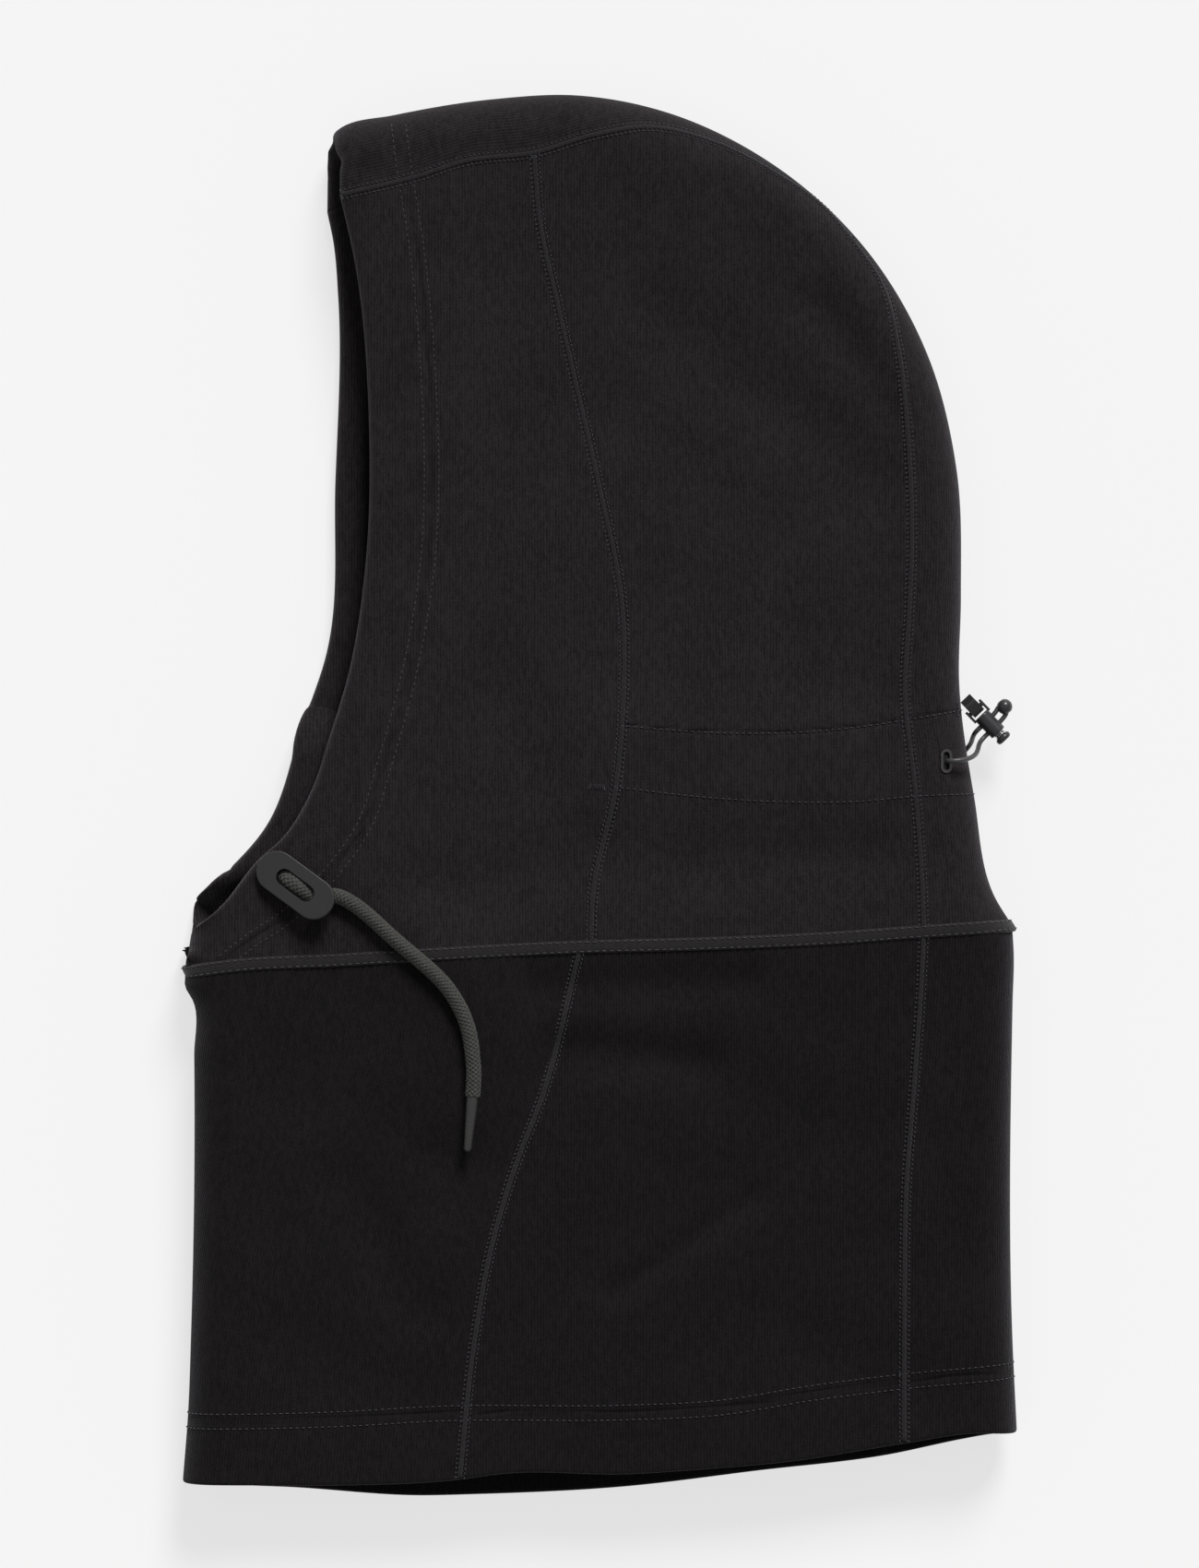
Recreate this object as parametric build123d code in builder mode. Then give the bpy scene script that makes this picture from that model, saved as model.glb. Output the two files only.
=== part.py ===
"""Hooded ski balaclava, lying flat on its right side.

Millimetres. +X points from the face to the back of the head, +Y to the crown and +Z up, away
from the surface it lies on. The wearer's left half is the upper layer, the right half the lower.
The origin is under the middle of the cloth, on the surface it lies on.
"""
from build123d import *
from math import cos, radians, sin, tan
import os

os.makedirs("parts", exist_ok=True)

# Cloth and the way it lies
CLOTH = 1.8                      # thickness of one ply of fleece
LAY_HEIGHT = 28.0                # both layers and the air between them
FOLD_RADIUS = 13.5               # outside radius of the folds
MID = LAY_HEIGHT / 2
REACH = 320.0                    # past every edge of the cloth
CHANNEL_GAP = 1.8                # room for the elastic inside its channel
TAPE = 0.8                       # thickness of the channel's tape
STITCH_BAND = 2.0                # width sewn down at each edge of the tape

# Drawcord and its plates
CORD_D = 5.2
CORD_GAP = 0.15                  # between the cord and what it lies on
BORE_PLAY = 0.05                 # between the cord and its tunnel
PLATE_LENGTH, PLATE_WIDTH, PLATE_THICK = 31.0, 14.4, 1.8
SLOT_LENGTH, SLOT_WIDTH = 15.6, 5.8
PLATE_TILT = 13.5                # of the left plate, propped by its cord
PLATE_TURN = -36.0               # of both plates, seen from above
PLATE_HEIGHT = 4.0               # underside of the left plate's middle, above the cloth
PIVOT_TO_PLATE = 5.0             # from the eyelet's axis to the plate's middle
AGLET_LENGTH, AGLET_R, AGLET_TIP_R = 19.5, 2.1, 1.4
POCKET_HEIGHT = 8.0              # the lower layer is lifted this much over its cord
RISE_MIDDLE, RISE_SIZE, RISE_TOP = (-109, -12), (30, 50), 17.6  # where its tunnel passes mid-height
LEFT_EYE = (-109.1, -27.5)
RIGHT_EYE = (-115.5, -25.5)

# Elastic and cord lock at the back
ELASTIC_D = 1.7
LOCK_AT = (131.2, 30.8, 13.0)    # middle of the bar that the tab holds
LOCK_TURN = -46.0                # the lock's long axis, seen from above
TRAVEL = 1.2                     # of the plunger
BARREL_R, BARREL_START, BARREL_END = 3.0, 2.7, 11.4
BAR_R = 0.8
ARM_INSIDE, ARM_THICK = 2.75, 0.9
ROD_R, ROD_PLAY = 1.6, 0.08
ROD_START = 4.3
SPRING_BORE_R, SPRING_FLOOR = 2.3, 10.1
SPRING_R, SPRING_WIRE, SPRING_TURNS = 1.97, 0.36, 3
CORD_HOLES = (5.6, 9.0)          # along the lock's axis
CORD_HOLE_R = 1.0
BUTTON_R, BUTTON_START, BUTTON_LENGTH = 2.8, 12.7, 2.2
TAB_WIDTH, TAB_PLY = 4.4, 0.6
TAB_LOOP = (4.0, 2.2)            # inside length and height of the loop round the bar
TAB_LOOP_AT = -0.6
TAB_ROOT = -5.4                  # sewn end, along the lock's axis
BEAD_R = 2.7
EYELET_LONG, EYELET_WIDE = 8.3, 4.2
EYELET_RIM, EYELET_BARREL = 0.95, 0.45
FLANGE = 0.4                     # thickness of an eyelet's flange
LEFT_REAR_EYE = (120.3, 12.8)
RIGHT_REAR_EYE = (124.3, 14.0)


# ---------------------------------------------------------------- outlines and seams, in plan

def zone(curve, *closing):
    """Plan area between a smooth curve and the straight lines that close it."""
    with BuildSketch() as area:
        with BuildLine():
            Spline(*curve)
            Polyline(curve[-1], *closing, curve[0])
        make_face()
    return area.sketch


with BuildSketch() as hood_outline:
    with BuildLine():
        FilletPolyline(
            (-142.5, -85), (-142.5, 213), (-51, 244.9), (16.7, 244.9), (79, 210.4),
            (126, 144.5), (125, 42), (137.6, -34), (144.2, -52), (144.2, -85),
            radius=[20, 198, 131, 150, 125, 343, 55, 36],
        )
        Line((144.2, -85), (-142.5, -85))
    make_face()

with BuildSketch() as bib_outline:
    with BuildLine():
        FilletPolyline((-141.6, -30), (-142.4, -190), (-147.4, -275), radius=600)
        FilletPolyline((144.2, -30), (144.0, -190), (147.6, -275), radius=600)
        Line((-141.6, -30), (144.2, -30))
        Line((-147.4, -275), (147.6, -275))
    make_face()

neck_seam = [(-170, -62), (-128.3, -58.6), (-58.6, -54.4), (35.2, -50.9), (109.1, -47), (170, -42)]
crown_seam = [
    (-180, 192), (-89.9, 209.6), (-34.2, 223.7), (18, 232.8), (61.4, 217.3), (88, 193.9),
    (102.7, 162.1), (108.5, 91.5), (106.2, 41), (109.8, 0.5), (112.6, -45), (113, -95),
]
side_seam = [(-24, 262), (-20.8, 201.3), (-5.4, 130.9), (8, 65.9), (5.6, 3.2), (-3, -50), (-4, -95)]
diagonal_seam = [(-2, -40), (-19.8, -103.4), (-37.8, -157.1), (-48.6, -236.2), (-52, -275)]
back_seam = [(112.7, -40), (109.1, -101.4), (105.9, -166.7), (105.9, -224), (106.5, -275)]
left_face_edge = [
    (-92, 280), (-90.2, 225.6), (-87.1, 199.4), (-81, 140.2), (-81.3, 84.8), (-87.7, 43),
    (-100.2, 3.5), (-110.9, -14.9), (-119, -20.8), (-132.5, -38.7), (-142, -46.7), (-165, -58),
]
right_face_edge = [
    (-97, 280), (-95, 220.2), (-91.8, 187.2), (-92.4, 120), (-95.6, 50), (-103.7, 25.9),
    (-116.3, -9.9), (-134.2, -29.8), (-142.2, -42), (-165, -57),
]
left_hem_edge = [
    (-170, -238.5), (-90.9, -238.7), (-33.6, -234.8), (37.1, -233.1), (110.7, -223.4), (170, -215),
]
right_hem_edge = [
    (-170, -239.5), (-107.8, -241.3), (-44.2, -243.8), (55.5, -235.5), (126.2, -224.3), (170, -217),
]
left_hem_row = [(-68, 280), (-70, 216), (-60.8, 118), (-68.8, 42), (-86, -16), (-128.3, -53.8), (-170, -80)]
right_hem_row = [(-74, 280), (-76, 216), (-70.5, 118), (-77, 42), (-92, -8), (-130, -47), (-170, -74)]
bib_hem_row = [(-170, -219.4), (-60, -217), (41.6, -213.5), (105.1, -205.4), (170, -198)]
channel_top = [(6.8, 25), (58.6, 22.4), (127, 30.7), (160, 34)]
channel_bottom = [(4.6, 4), (58.6, -1.2), (130.2, 1), (160, 3)]

before_side_seam = zone(side_seam, (-REACH, -95), (-REACH, 262))
inside_crown_seam = zone(crown_seam, (-REACH, -95), (-REACH, 192))
above_neck_seam = zone(neck_seam, (REACH, REACH), (-REACH, REACH))
before_diagonal_seam = zone(diagonal_seam, (-REACH, -275), (-REACH, -40))
before_back_seam = zone(back_seam, (-REACH, -275), (-REACH, -40))
inside_left_edge = zone(left_face_edge, (REACH, -58), (REACH, 280))
inside_right_edge = zone(right_face_edge, (REACH, -57), (REACH, 280))
above_left_hem = zone(left_hem_edge, (REACH, 0), (-REACH, 0))
above_right_hem = zone(right_hem_edge, (REACH, 0), (-REACH, 0))
left_face_hem = zone(left_hem_row, (-REACH, -80), (-REACH, 280))
right_face_hem = zone(right_hem_row, (-REACH, -74), (-REACH, 280))
bib_hem = zone(bib_hem_row, (REACH, -REACH), (-REACH, -REACH))



def channel_zone(margin):
    """Plan area of the rear channel, less a margin above, below and at its front end."""
    top = [(east, north - margin) for east, north in channel_top]
    bottom = [(east, north + margin) for east, north in channel_bottom]
    front = [(channel_top[0][0] + margin, top[0][1]), (channel_top[0][0] + margin, bottom[0][1])]
    with BuildSketch() as area:
        with BuildLine():
            Spline(front[0], *top[1:])
            Spline(front[1], *bottom[1:])
            Line(*front)
            Line(top[-1], bottom[-1])
        make_face()
    return area.sketch


def block(area, bottom=-5.0, top=LAY_HEIGHT + 5.0):
    """Upright prism on a plan area."""
    with BuildPart() as prism:
        with BuildSketch(Plane.XY.offset(bottom)):
            add(area)
        extrude(amount=top - bottom)
    return prism.part


def lay_body(outline, inset):
    """The space inside the folded cloth, everywhere inset from its outer face."""
    with BuildPart() as body:
        with BuildSketch(Plane.XY.offset(inset)):
            add(outline)
            if inset:
                offset(amount=-inset, kind=Kind.INTERSECTION)
        extrude(amount=LAY_HEIGHT - 2 * inset)
        ends = body.faces().sort_by(Axis.Z)
        fillet(ends[0].edges() + ends[-1].edges(), radius=FOLD_RADIUS - inset)
    return body.part


# ---------------------------------------------------------------- cord routes

def bend_radii(points, least=0.0):
    """One arc for each corner: 0.45 of the shorter run, over the tangent of half the turn."""
    spots = [Vector(*point) for point in points]
    runs = [after - before for before, after in zip(spots, spots[1:])]
    radii = []
    for before, after in zip(runs, runs[1:]):
        half_turn = radians(before.get_angle(after) / 2)
        radii.append(max(0.45 * min(before.length, after.length) / tan(half_turn), least))
    return radii


def cord_tube(name, points, diameter, least=0.0):
    """Round tube of straight runs joined by tangent arcs."""
    radii = bend_radii(points, least)
    with BuildPart() as tube:
        with BuildLine() as path:
            FilletPolyline(*points, radius=radii)
        route = path.wire()
        with BuildSketch(Plane(origin=route @ 0, z_dir=route % 0)):
            Circle(diameter / 2)
        sweep()
    length = route.length
    section = 3.14159265 * diameter**2 / 4
    print(f"{name}: length {length:.1f} mm, tube/section {tube.part.volume / section:.1f} mm,"
          f" radii {[round(radius, 1) for radius in radii]}")
    return tube.part


def on_plate(eye, along, height):
    """Point on the plate's long axis, counted from the plate's middle."""
    reach = along + PIVOT_TO_PLATE
    turn = radians(PLATE_TURN)
    return (eye[0] + reach * cos(turn), eye[1] + reach * sin(turn), height)


INNER_TOP = LAY_HEIGHT - CLOTH                 # inner face of the upper layer
POCKET_INNER = POCKET_HEIGHT + CLOTH           # inner face of the lower layer, over the pocket
SIDE_Z = CORD_D / 2 + CORD_GAP                 # cord's middle above what it lies on
TOP_TUNNEL_Z = INNER_TOP - SIDE_Z
LOW_TUNNEL_Z = CLOTH + SIDE_Z
POCKET_TUNNEL_Z = POCKET_INNER + SIDE_Z
EXIT_RISE = 2.95                               # height of the cord's bend into an eyelet
TIGHT_BEND = 2.85                              # over the eyelet's rim, hidden in the hem

# The tail's lie past the plate: x and y from its eyelet
tail_lie = [
    (17.6, -5.7), (24.6, -9.6), (30.4, -14.4), (37.6, -21.3), (53.3, -34.3), (59.5, -42.5),
    (63.6, -51.5), (65.1, -61.0), (65.7, -69.5), (65.1, -75.9),
]
left_tail_rise = [2.8, 2.8, 2.8, 2.8, 2.8, 2.8, 2.8, 2.85, 2.85, 2.67]
right_tail_rise = [5.0, 3.6, 2.8, 2.8, 2.8, 2.8, 2.8, 2.85, 2.85, 2.67]

left_tail_route = [
    (*LEFT_EYE, TOP_TUNNEL_Z + EXIT_RISE),
    on_plate(LEFT_EYE, -5.0, LAY_HEIGHT + 1.4),
    on_plate(LEFT_EYE, -2.3, LAY_HEIGHT + 4.1),
    on_plate(LEFT_EYE, 2.4, LAY_HEIGHT + 4.3),
    on_plate(LEFT_EYE, 7.5, LAY_HEIGHT + 2.85),
]
right_tail_route = [
    (*RIGHT_EYE, POCKET_TUNNEL_Z - EXIT_RISE),
    on_plate(RIGHT_EYE, -5.0, 6.5),
    on_plate(RIGHT_EYE, -1.9, 3.4),
    on_plate(RIGHT_EYE, 2.8, 2.85),
    on_plate(RIGHT_EYE, 8.6, 5.25),
]
for (east, north), left_rise, right_rise in zip(tail_lie, left_tail_rise, right_tail_rise):
    left_tail_route.append((LEFT_EYE[0] + east, LEFT_EYE[1] + north, LAY_HEIGHT + left_rise))
    right_tail_route.append((RIGHT_EYE[0] + east, RIGHT_EYE[1] + north, right_rise))

drawcord_route = [
    (*LEFT_EYE, TOP_TUNNEL_Z + EXIT_RISE),
    (*LEFT_EYE, TOP_TUNNEL_Z),
    (-102.6, -17.5, TOP_TUNNEL_Z),
    (-96.5, -6.0, TOP_TUNNEL_Z),
    (-91.0, 8.0, TOP_TUNNEL_Z),
    (-84.5, 29.0, TOP_TUNNEL_Z),
    (-78.0, 56.0, TOP_TUNNEL_Z),
    (-73.6, 84.0, TOP_TUNNEL_Z),
    (-72.5, 112.0, TOP_TUNNEL_Z),
    (-73.0, 141.0, TOP_TUNNEL_Z),
    (-75.0, 166.0, TOP_TUNNEL_Z),
    (-77.8, 188.0, TOP_TUNNEL_Z),
    (-81.6, 208.0, TOP_TUNNEL_Z),
    (-83.0, 229.6, TOP_TUNNEL_Z),
    (-83.6, 229.6, LOW_TUNNEL_Z),
    (-85.2, 208.0, LOW_TUNNEL_Z),
    (-83.6, 186.0, LOW_TUNNEL_Z),
    (-83.2, 160.0, LOW_TUNNEL_Z),
    (-84.2, 132.0, LOW_TUNNEL_Z),
    (-85.0, 104.0, LOW_TUNNEL_Z),
    (-86.6, 76.0, LOW_TUNNEL_Z),
    (-89.4, 50.0, LOW_TUNNEL_Z),
    (-95.0, 27.0, LOW_TUNNEL_Z),
    (-101.5, 6.0, LOW_TUNNEL_Z),
    (-106.0, -7.0, POCKET_TUNNEL_Z),
    (-110.0, -17.0, POCKET_TUNNEL_Z),
    (*RIGHT_EYE, POCKET_TUNNEL_Z),
    (*RIGHT_EYE, POCKET_TUNNEL_Z - EXIT_RISE),
]

drawcord = cord_tube("drawcord", drawcord_route, CORD_D, TIGHT_BEND)
cord_bore = cord_tube("tunnel", drawcord_route, CORD_D + 2 * BORE_PLAY, TIGHT_BEND)
cord_sleeve = cord_tube("tunnel cloth", drawcord_route, CORD_D + 2 * BORE_PLAY + 2 * CLOTH, TIGHT_BEND)
tail_left = cord_tube("drawcord_tail_left", left_tail_route, CORD_D)
tail_right = cord_tube("drawcord_tail_right", right_tail_route, CORD_D)


# ---------------------------------------------------------------- the cloth before it is cut

# Plan area of the pocket that the right cord lies in, counted from its eyelet
pocket_corners = [
    (-20, 9), (-6, 15), (22, 8), (44, -12), (72, -30), (86, -66), (84, -104), (56, -104),
    (40, -62), (10, -26), (-14, -10),
]
with BuildSketch() as pocket_area:
    with BuildLine():
        FilletPolyline(
            *[(RIGHT_EYE[0] + east, RIGHT_EYE[1] + north) for east, north in pocket_corners],
            radius=5, close=True,
        )
    make_face()
with BuildSketch() as pocket_cloth_area:
    add(pocket_area.sketch)
    offset(amount=CLOTH)
with BuildSketch() as everywhere:
    Rectangle(2 * REACH, 2 * REACH)

pocket = block(pocket_area.sketch, top=POCKET_HEIGHT)
pocket_cloth = block(pocket_cloth_area.sketch, top=POCKET_INNER)
upper_half = block(everywhere.sketch, bottom=MID)
lower_half = block(everywhere.sketch, top=MID)
front_of_hood = block(before_side_seam)
inside_crown = block(inside_crown_seam)
above_neck = block(above_neck_seam)
front_of_bib = block(before_diagonal_seam)
before_back = block(before_back_seam)


def round_hole(center, radius, bottom, top):
    """Upright round cutter."""
    with BuildPart() as cutter:
        with BuildSketch(Plane.XY.offset(bottom)):
            with Locations(center):
                Circle(radius)
        extrude(amount=top - bottom)
    return cutter.part


def cut_to(cloth, *kept, without=()):
    """The cloth inside every kept block and outside every other one."""
    with BuildPart() as panel:
        add(cloth)
        for limit in kept:
            add(limit, mode=Mode.INTERSECT)
        for limit in without:
            add(limit, mode=Mode.SUBTRACT)
    return panel.part


EYELET_HOLE_R = CORD_D / 2 + 0.1
left_eye_cutter = round_hole(LEFT_EYE, EYELET_HOLE_R + EYELET_BARREL, INNER_TOP, LAY_HEIGHT + 5)
right_eye_cutter = round_hole(RIGHT_EYE, EYELET_HOLE_R + EYELET_BARREL, 0, POCKET_INNER)

hood_outer = lay_body(hood_outline.sketch, 0)
hood_inner = lay_body(hood_outline.sketch, CLOTH)
hood_second = lay_body(hood_outline.sketch, CLOTH + CHANNEL_GAP)
hood_third = lay_body(hood_outline.sketch, CLOTH + CHANNEL_GAP + TAPE)

face_hem_ply = cut_to(hood_inner, without=[hood_second])
with BuildPart() as face_hem_area:
    add(block(left_face_hem, bottom=MID))
    add(block(right_face_hem, top=MID))
with BuildSketch() as rise_area:
    with Locations(RISE_MIDDLE):
        Rectangle(*RISE_SIZE)
rise = block(rise_area.sketch, bottom=0, top=RISE_TOP)
with BuildPart() as lower_front:
    add(lower_half)
    add(rise)
with BuildPart() as hood_edges:
    add(block(inside_left_edge, bottom=MID))
    add(block(inside_right_edge, top=MID))
    add(rise)

with BuildPart() as hood_cloth:
    add(hood_outer)
    add(hood_inner, mode=Mode.SUBTRACT)
    add(cut_to(face_hem_ply, face_hem_area.part))
    add(cut_to(cord_sleeve, hood_outer))
    add(cut_to(pocket_cloth, hood_outer))
    add(pocket, mode=Mode.SUBTRACT)
    add(cord_bore, mode=Mode.SUBTRACT)
    add(left_eye_cutter, mode=Mode.SUBTRACT)
    add(right_eye_cutter, mode=Mode.SUBTRACT)
    add(above_neck, mode=Mode.INTERSECT)
    add(hood_edges.part, mode=Mode.INTERSECT)

bib_outer = lay_body(bib_outline.sketch, 0)
bib_inner = lay_body(bib_outline.sketch, CLOTH)
bib_second = lay_body(bib_outline.sketch, 2 * CLOTH)
bib_hem_ply = cut_to(bib_inner, block(bib_hem), without=[bib_second])
with BuildPart() as bib_edges:
    add(block(above_left_hem, bottom=MID))
    add(block(above_right_hem, top=MID))

with BuildPart() as bib_cloth:
    add(bib_outer)
    add(bib_inner, mode=Mode.SUBTRACT)
    add(bib_hem_ply)
    add(cut_to(pocket_cloth, bib_outer))
    add(pocket, mode=Mode.SUBTRACT)
    add(above_neck, mode=Mode.SUBTRACT)
    add(bib_edges.part, mode=Mode.INTERSECT)


# ---------------------------------------------------------------- eyelets

def back_fold(spot, side):
    """Plane on the back fold's outer face, over a plan spot; side is 1 above and -1 below."""
    edge = 129.35                                   # where the fold ends, beside the eyelets
    lean = (spot[0] - (edge - FOLD_RADIUS)) / FOLD_RADIUS
    upright = (1 - lean**2) ** 0.5
    center = MID + side * (MID - FOLD_RADIUS)
    return Plane(
        origin=(*spot, center + side * FOLD_RADIUS * upright),
        x_dir=(0, 1, 0),
        z_dir=(lean, 0, side * upright),
    )


def oval_eyelet(face):
    """Flanged oval eyelet through one ply, its long way along the face's x."""
    hole = (EYELET_LONG - 2 * EYELET_RIM, EYELET_WIDE - 2 * EYELET_RIM)
    with BuildPart() as eyelet:
        with BuildSketch(face.offset(-CLOTH)):
            SlotOverall(hole[0] + 2 * EYELET_BARREL, hole[1] + 2 * EYELET_BARREL)
        extrude(amount=CLOTH + FLANGE)
        with BuildSketch(face):
            SlotOverall(EYELET_LONG, EYELET_WIDE)
        extrude(amount=FLANGE)
        with BuildSketch(face.offset(-CLOTH)):
            SlotOverall(*hole)
        extrude(amount=CLOTH + FLANGE, mode=Mode.SUBTRACT)
    return eyelet.part


def oval_cutter(face):
    """The hole that an oval eyelet's barrel fills."""
    with BuildPart() as cutter:
        with BuildSketch(face.offset(-2 * CLOTH)):
            SlotOverall(
                EYELET_LONG - 2 * EYELET_RIM + 2 * EYELET_BARREL,
                EYELET_WIDE - 2 * EYELET_RIM + 2 * EYELET_BARREL,
            )
        extrude(amount=4 * CLOTH)
    return cutter.part


def round_eyelet(center, inner_face, outer_face):
    """Flanged round eyelet through one flat ply."""
    outward = 1 if outer_face > inner_face else -1
    with BuildPart() as eyelet:
        with BuildSketch(Plane.XY.offset(inner_face)):
            with Locations(center):
                Circle(EYELET_HOLE_R + EYELET_BARREL)
        extrude(amount=outer_face - inner_face + outward * FLANGE)
        with BuildSketch(Plane.XY.offset(outer_face)):
            with Locations(center):
                Circle(EYELET_HOLE_R + EYELET_RIM)
        extrude(amount=outward * FLANGE)
        with BuildSketch(Plane.XY.offset(inner_face)):
            with Locations(center):
                Circle(EYELET_HOLE_R)
        extrude(amount=outer_face - inner_face + outward * FLANGE, mode=Mode.SUBTRACT)
    return eyelet.part


left_rear_face = back_fold(LEFT_REAR_EYE, 1)
right_rear_face = back_fold(RIGHT_REAR_EYE, -1)

# ---------------------------------------------------------------- cloth panels

pieces = {
    "hood_front_panel_left": cut_to(
        hood_cloth.part, upper_half, front_of_hood, inside_crown, without=[rise]
    ),
    "hood_front_panel_right": cut_to(hood_cloth.part, lower_front.part, front_of_hood, inside_crown),
    "hood_side_panel_left": cut_to(hood_cloth.part, upper_half, inside_crown, without=[front_of_hood]),
    "hood_side_panel_right": cut_to(hood_cloth.part, lower_half, inside_crown, without=[front_of_hood]),
    "crown_back_strip": cut_to(
        hood_cloth.part,
        without=[inside_crown, oval_cutter(left_rear_face), oval_cutter(right_rear_face)],
    ),
    "bib_front_panel": cut_to(bib_cloth.part, front_of_bib),
    "bib_side_panel_left": cut_to(bib_cloth.part, upper_half, before_back, without=[front_of_bib]),
    "bib_side_panel_right": cut_to(bib_cloth.part, lower_half, before_back, without=[front_of_bib]),
    "bib_back_panel": cut_to(bib_cloth.part, without=[before_back]),
}

channel_room = cut_to(face_hem_ply, block(channel_zone(STITCH_BAND)))
channel_plies = cut_to(hood_inner, without=[hood_third])
pieces["rear_channel_tape"] = cut_to(
    channel_plies, block(channel_zone(0)), without=[channel_room]
)

# ---------------------------------------------------------------- face adjuster

BRIDGE_GAP, BRIDGE_THICK = 3.6, 0.6                # the bridge under the slot
BRIDGE_START, BRIDGE_END, BRIDGE_LEG = 1.0, 2.8, 1.2


def stopper_plate(face):
    """Stadium plate with a slot, and a bridge behind it that the cord goes over."""
    bridge_length = BRIDGE_END - BRIDGE_START
    with BuildPart() as plate:
        with BuildSketch(face):
            SlotOverall(PLATE_LENGTH, PLATE_WIDTH)
        extrude(amount=PLATE_THICK)
        fillet(plate.edges().filter_by(lambda edge: edge.length > PLATE_THICK + 0.1), radius=0.45)
        with BuildSketch(face):
            SlotOverall(SLOT_LENGTH, SLOT_WIDTH)
        extrude(amount=PLATE_THICK, mode=Mode.SUBTRACT)
        with BuildSketch(face):
            with Locations(((BRIDGE_START + BRIDGE_END) / 2, 0)):
                Rectangle(bridge_length, SLOT_WIDTH + 0.1 + 2 * BRIDGE_LEG)
                Rectangle(bridge_length, SLOT_WIDTH + 0.1, mode=Mode.SUBTRACT)
        extrude(amount=-BRIDGE_GAP)
        with BuildSketch(face.offset(-BRIDGE_GAP)):
            with Locations(((BRIDGE_START + BRIDGE_END) / 2, 0)):
                Rectangle(bridge_length, SLOT_WIDTH + 0.1 + 2 * BRIDGE_LEG)
        extrude(amount=-BRIDGE_THICK)
    return plate.part


def aglet(route):
    """Tapered tip on the end of a cord's route."""
    end = Vector(*route[-1])
    onward = (end - Vector(*route[-2])).normalized()
    across = onward.cross(Vector(0, 0, 1)).normalized()
    with BuildPart() as tip:
        with BuildSketch(Plane(origin=end, x_dir=across, z_dir=across.cross(onward))):
            with BuildLine():
                Polyline(
                    (0, AGLET_LENGTH), (0, 0), (AGLET_R, 0), (AGLET_R, 3.0),
                    (AGLET_TIP_R, AGLET_LENGTH - AGLET_TIP_R),
                )
                ThreePointArc(
                    (AGLET_TIP_R, AGLET_LENGTH - AGLET_TIP_R),
                    (AGLET_TIP_R * sin(radians(45)), AGLET_LENGTH - AGLET_TIP_R * (1 - sin(radians(45)))),
                    (0, AGLET_LENGTH),
                )
            make_face()
        revolve(axis=Axis(end, onward))
    return tip.part


turn, tilt = radians(PLATE_TURN), radians(PLATE_TILT)
left_plate_face = Plane(
    origin=on_plate(LEFT_EYE, 0, LAY_HEIGHT + PLATE_HEIGHT),
    x_dir=(cos(tilt) * cos(turn), cos(tilt) * sin(turn), sin(tilt)),
    z_dir=(-sin(tilt) * cos(turn), -sin(tilt) * sin(turn), cos(tilt)),
)
right_plate_face = Plane(
    origin=on_plate(RIGHT_EYE, 0, PLATE_THICK + 0.2),
    x_dir=(cos(turn), sin(turn), 0),
    z_dir=(0, 0, -1),
)
pieces.update({
    "drawcord": drawcord,
    "drawcord_tail_left": tail_left,
    "drawcord_tail_right": tail_right,
    "aglet_left": aglet(left_tail_route),
    "aglet_right": aglet(right_tail_route),
    "stopper_plate_left": stopper_plate(left_plate_face),
    "stopper_plate_right": stopper_plate(right_plate_face),
    "front_eyelet_left": round_eyelet(LEFT_EYE, INNER_TOP, LAY_HEIGHT),
    "front_eyelet_right": round_eyelet(RIGHT_EYE, POCKET_INNER, POCKET_HEIGHT),
    "rear_eyelet_left": oval_eyelet(left_rear_face),
    "rear_eyelet_right": oval_eyelet(right_rear_face),
})

# ---------------------------------------------------------------- cord lock

lock_turn = radians(LOCK_TURN)
ALONG = Vector(cos(lock_turn), sin(lock_turn), 0)
ACROSS = Vector(-sin(lock_turn), cos(lock_turn), 0)


def lock_point(along, across, up=0.0):
    """Place on the cord lock, from the middle of its bar."""
    spot = Vector(*LOCK_AT) + ALONG * along + ACROSS * across
    return (spot.X, spot.Y, spot.Z + up)


def lock_section(along):
    """Plane across the lock's long axis."""
    return Plane(origin=lock_point(along, 0), x_dir=ACROSS, z_dir=ALONG)


def lock_side(along, across=0.0):
    """Plane whose normal points across the lock, its x along it."""
    return Plane(origin=lock_point(along, across), x_dir=ALONG, z_dir=ACROSS)


with BuildPart() as cord_lock_body:
    with BuildSketch(lock_section(BARREL_START)):
        Circle(BARREL_R)
    extrude(amount=BARREL_END - BARREL_START)
    fillet(cord_lock_body.edges().filter_by(GeomType.CIRCLE), radius=0.55)
    with BuildSketch(lock_side(0.95, ARM_INSIDE)):
        SlotOverall(5.1, 2 * ARM_THICK)
    extrude(amount=ARM_THICK)
    with BuildSketch(lock_side(0.95, -ARM_INSIDE)):
        SlotOverall(5.1, 2 * ARM_THICK)
    extrude(amount=-ARM_THICK)
    with BuildSketch(lock_side(0, -ARM_INSIDE)):
        Circle(BAR_R)
    extrude(amount=2 * ARM_INSIDE)
    with BuildSketch(lock_section(ROD_START - TRAVEL - 0.15)):
        Circle(ROD_R + ROD_PLAY)
    extrude(amount=BARREL_END, mode=Mode.SUBTRACT)
    with BuildSketch(lock_section(SPRING_FLOOR)):
        Circle(SPRING_BORE_R)
    extrude(amount=BARREL_END, mode=Mode.SUBTRACT)
    for hole in CORD_HOLES:
        with BuildSketch(lock_side(hole)):
            Circle(CORD_HOLE_R)
        extrude(amount=2 * BARREL_R, both=True, mode=Mode.SUBTRACT)

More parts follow.
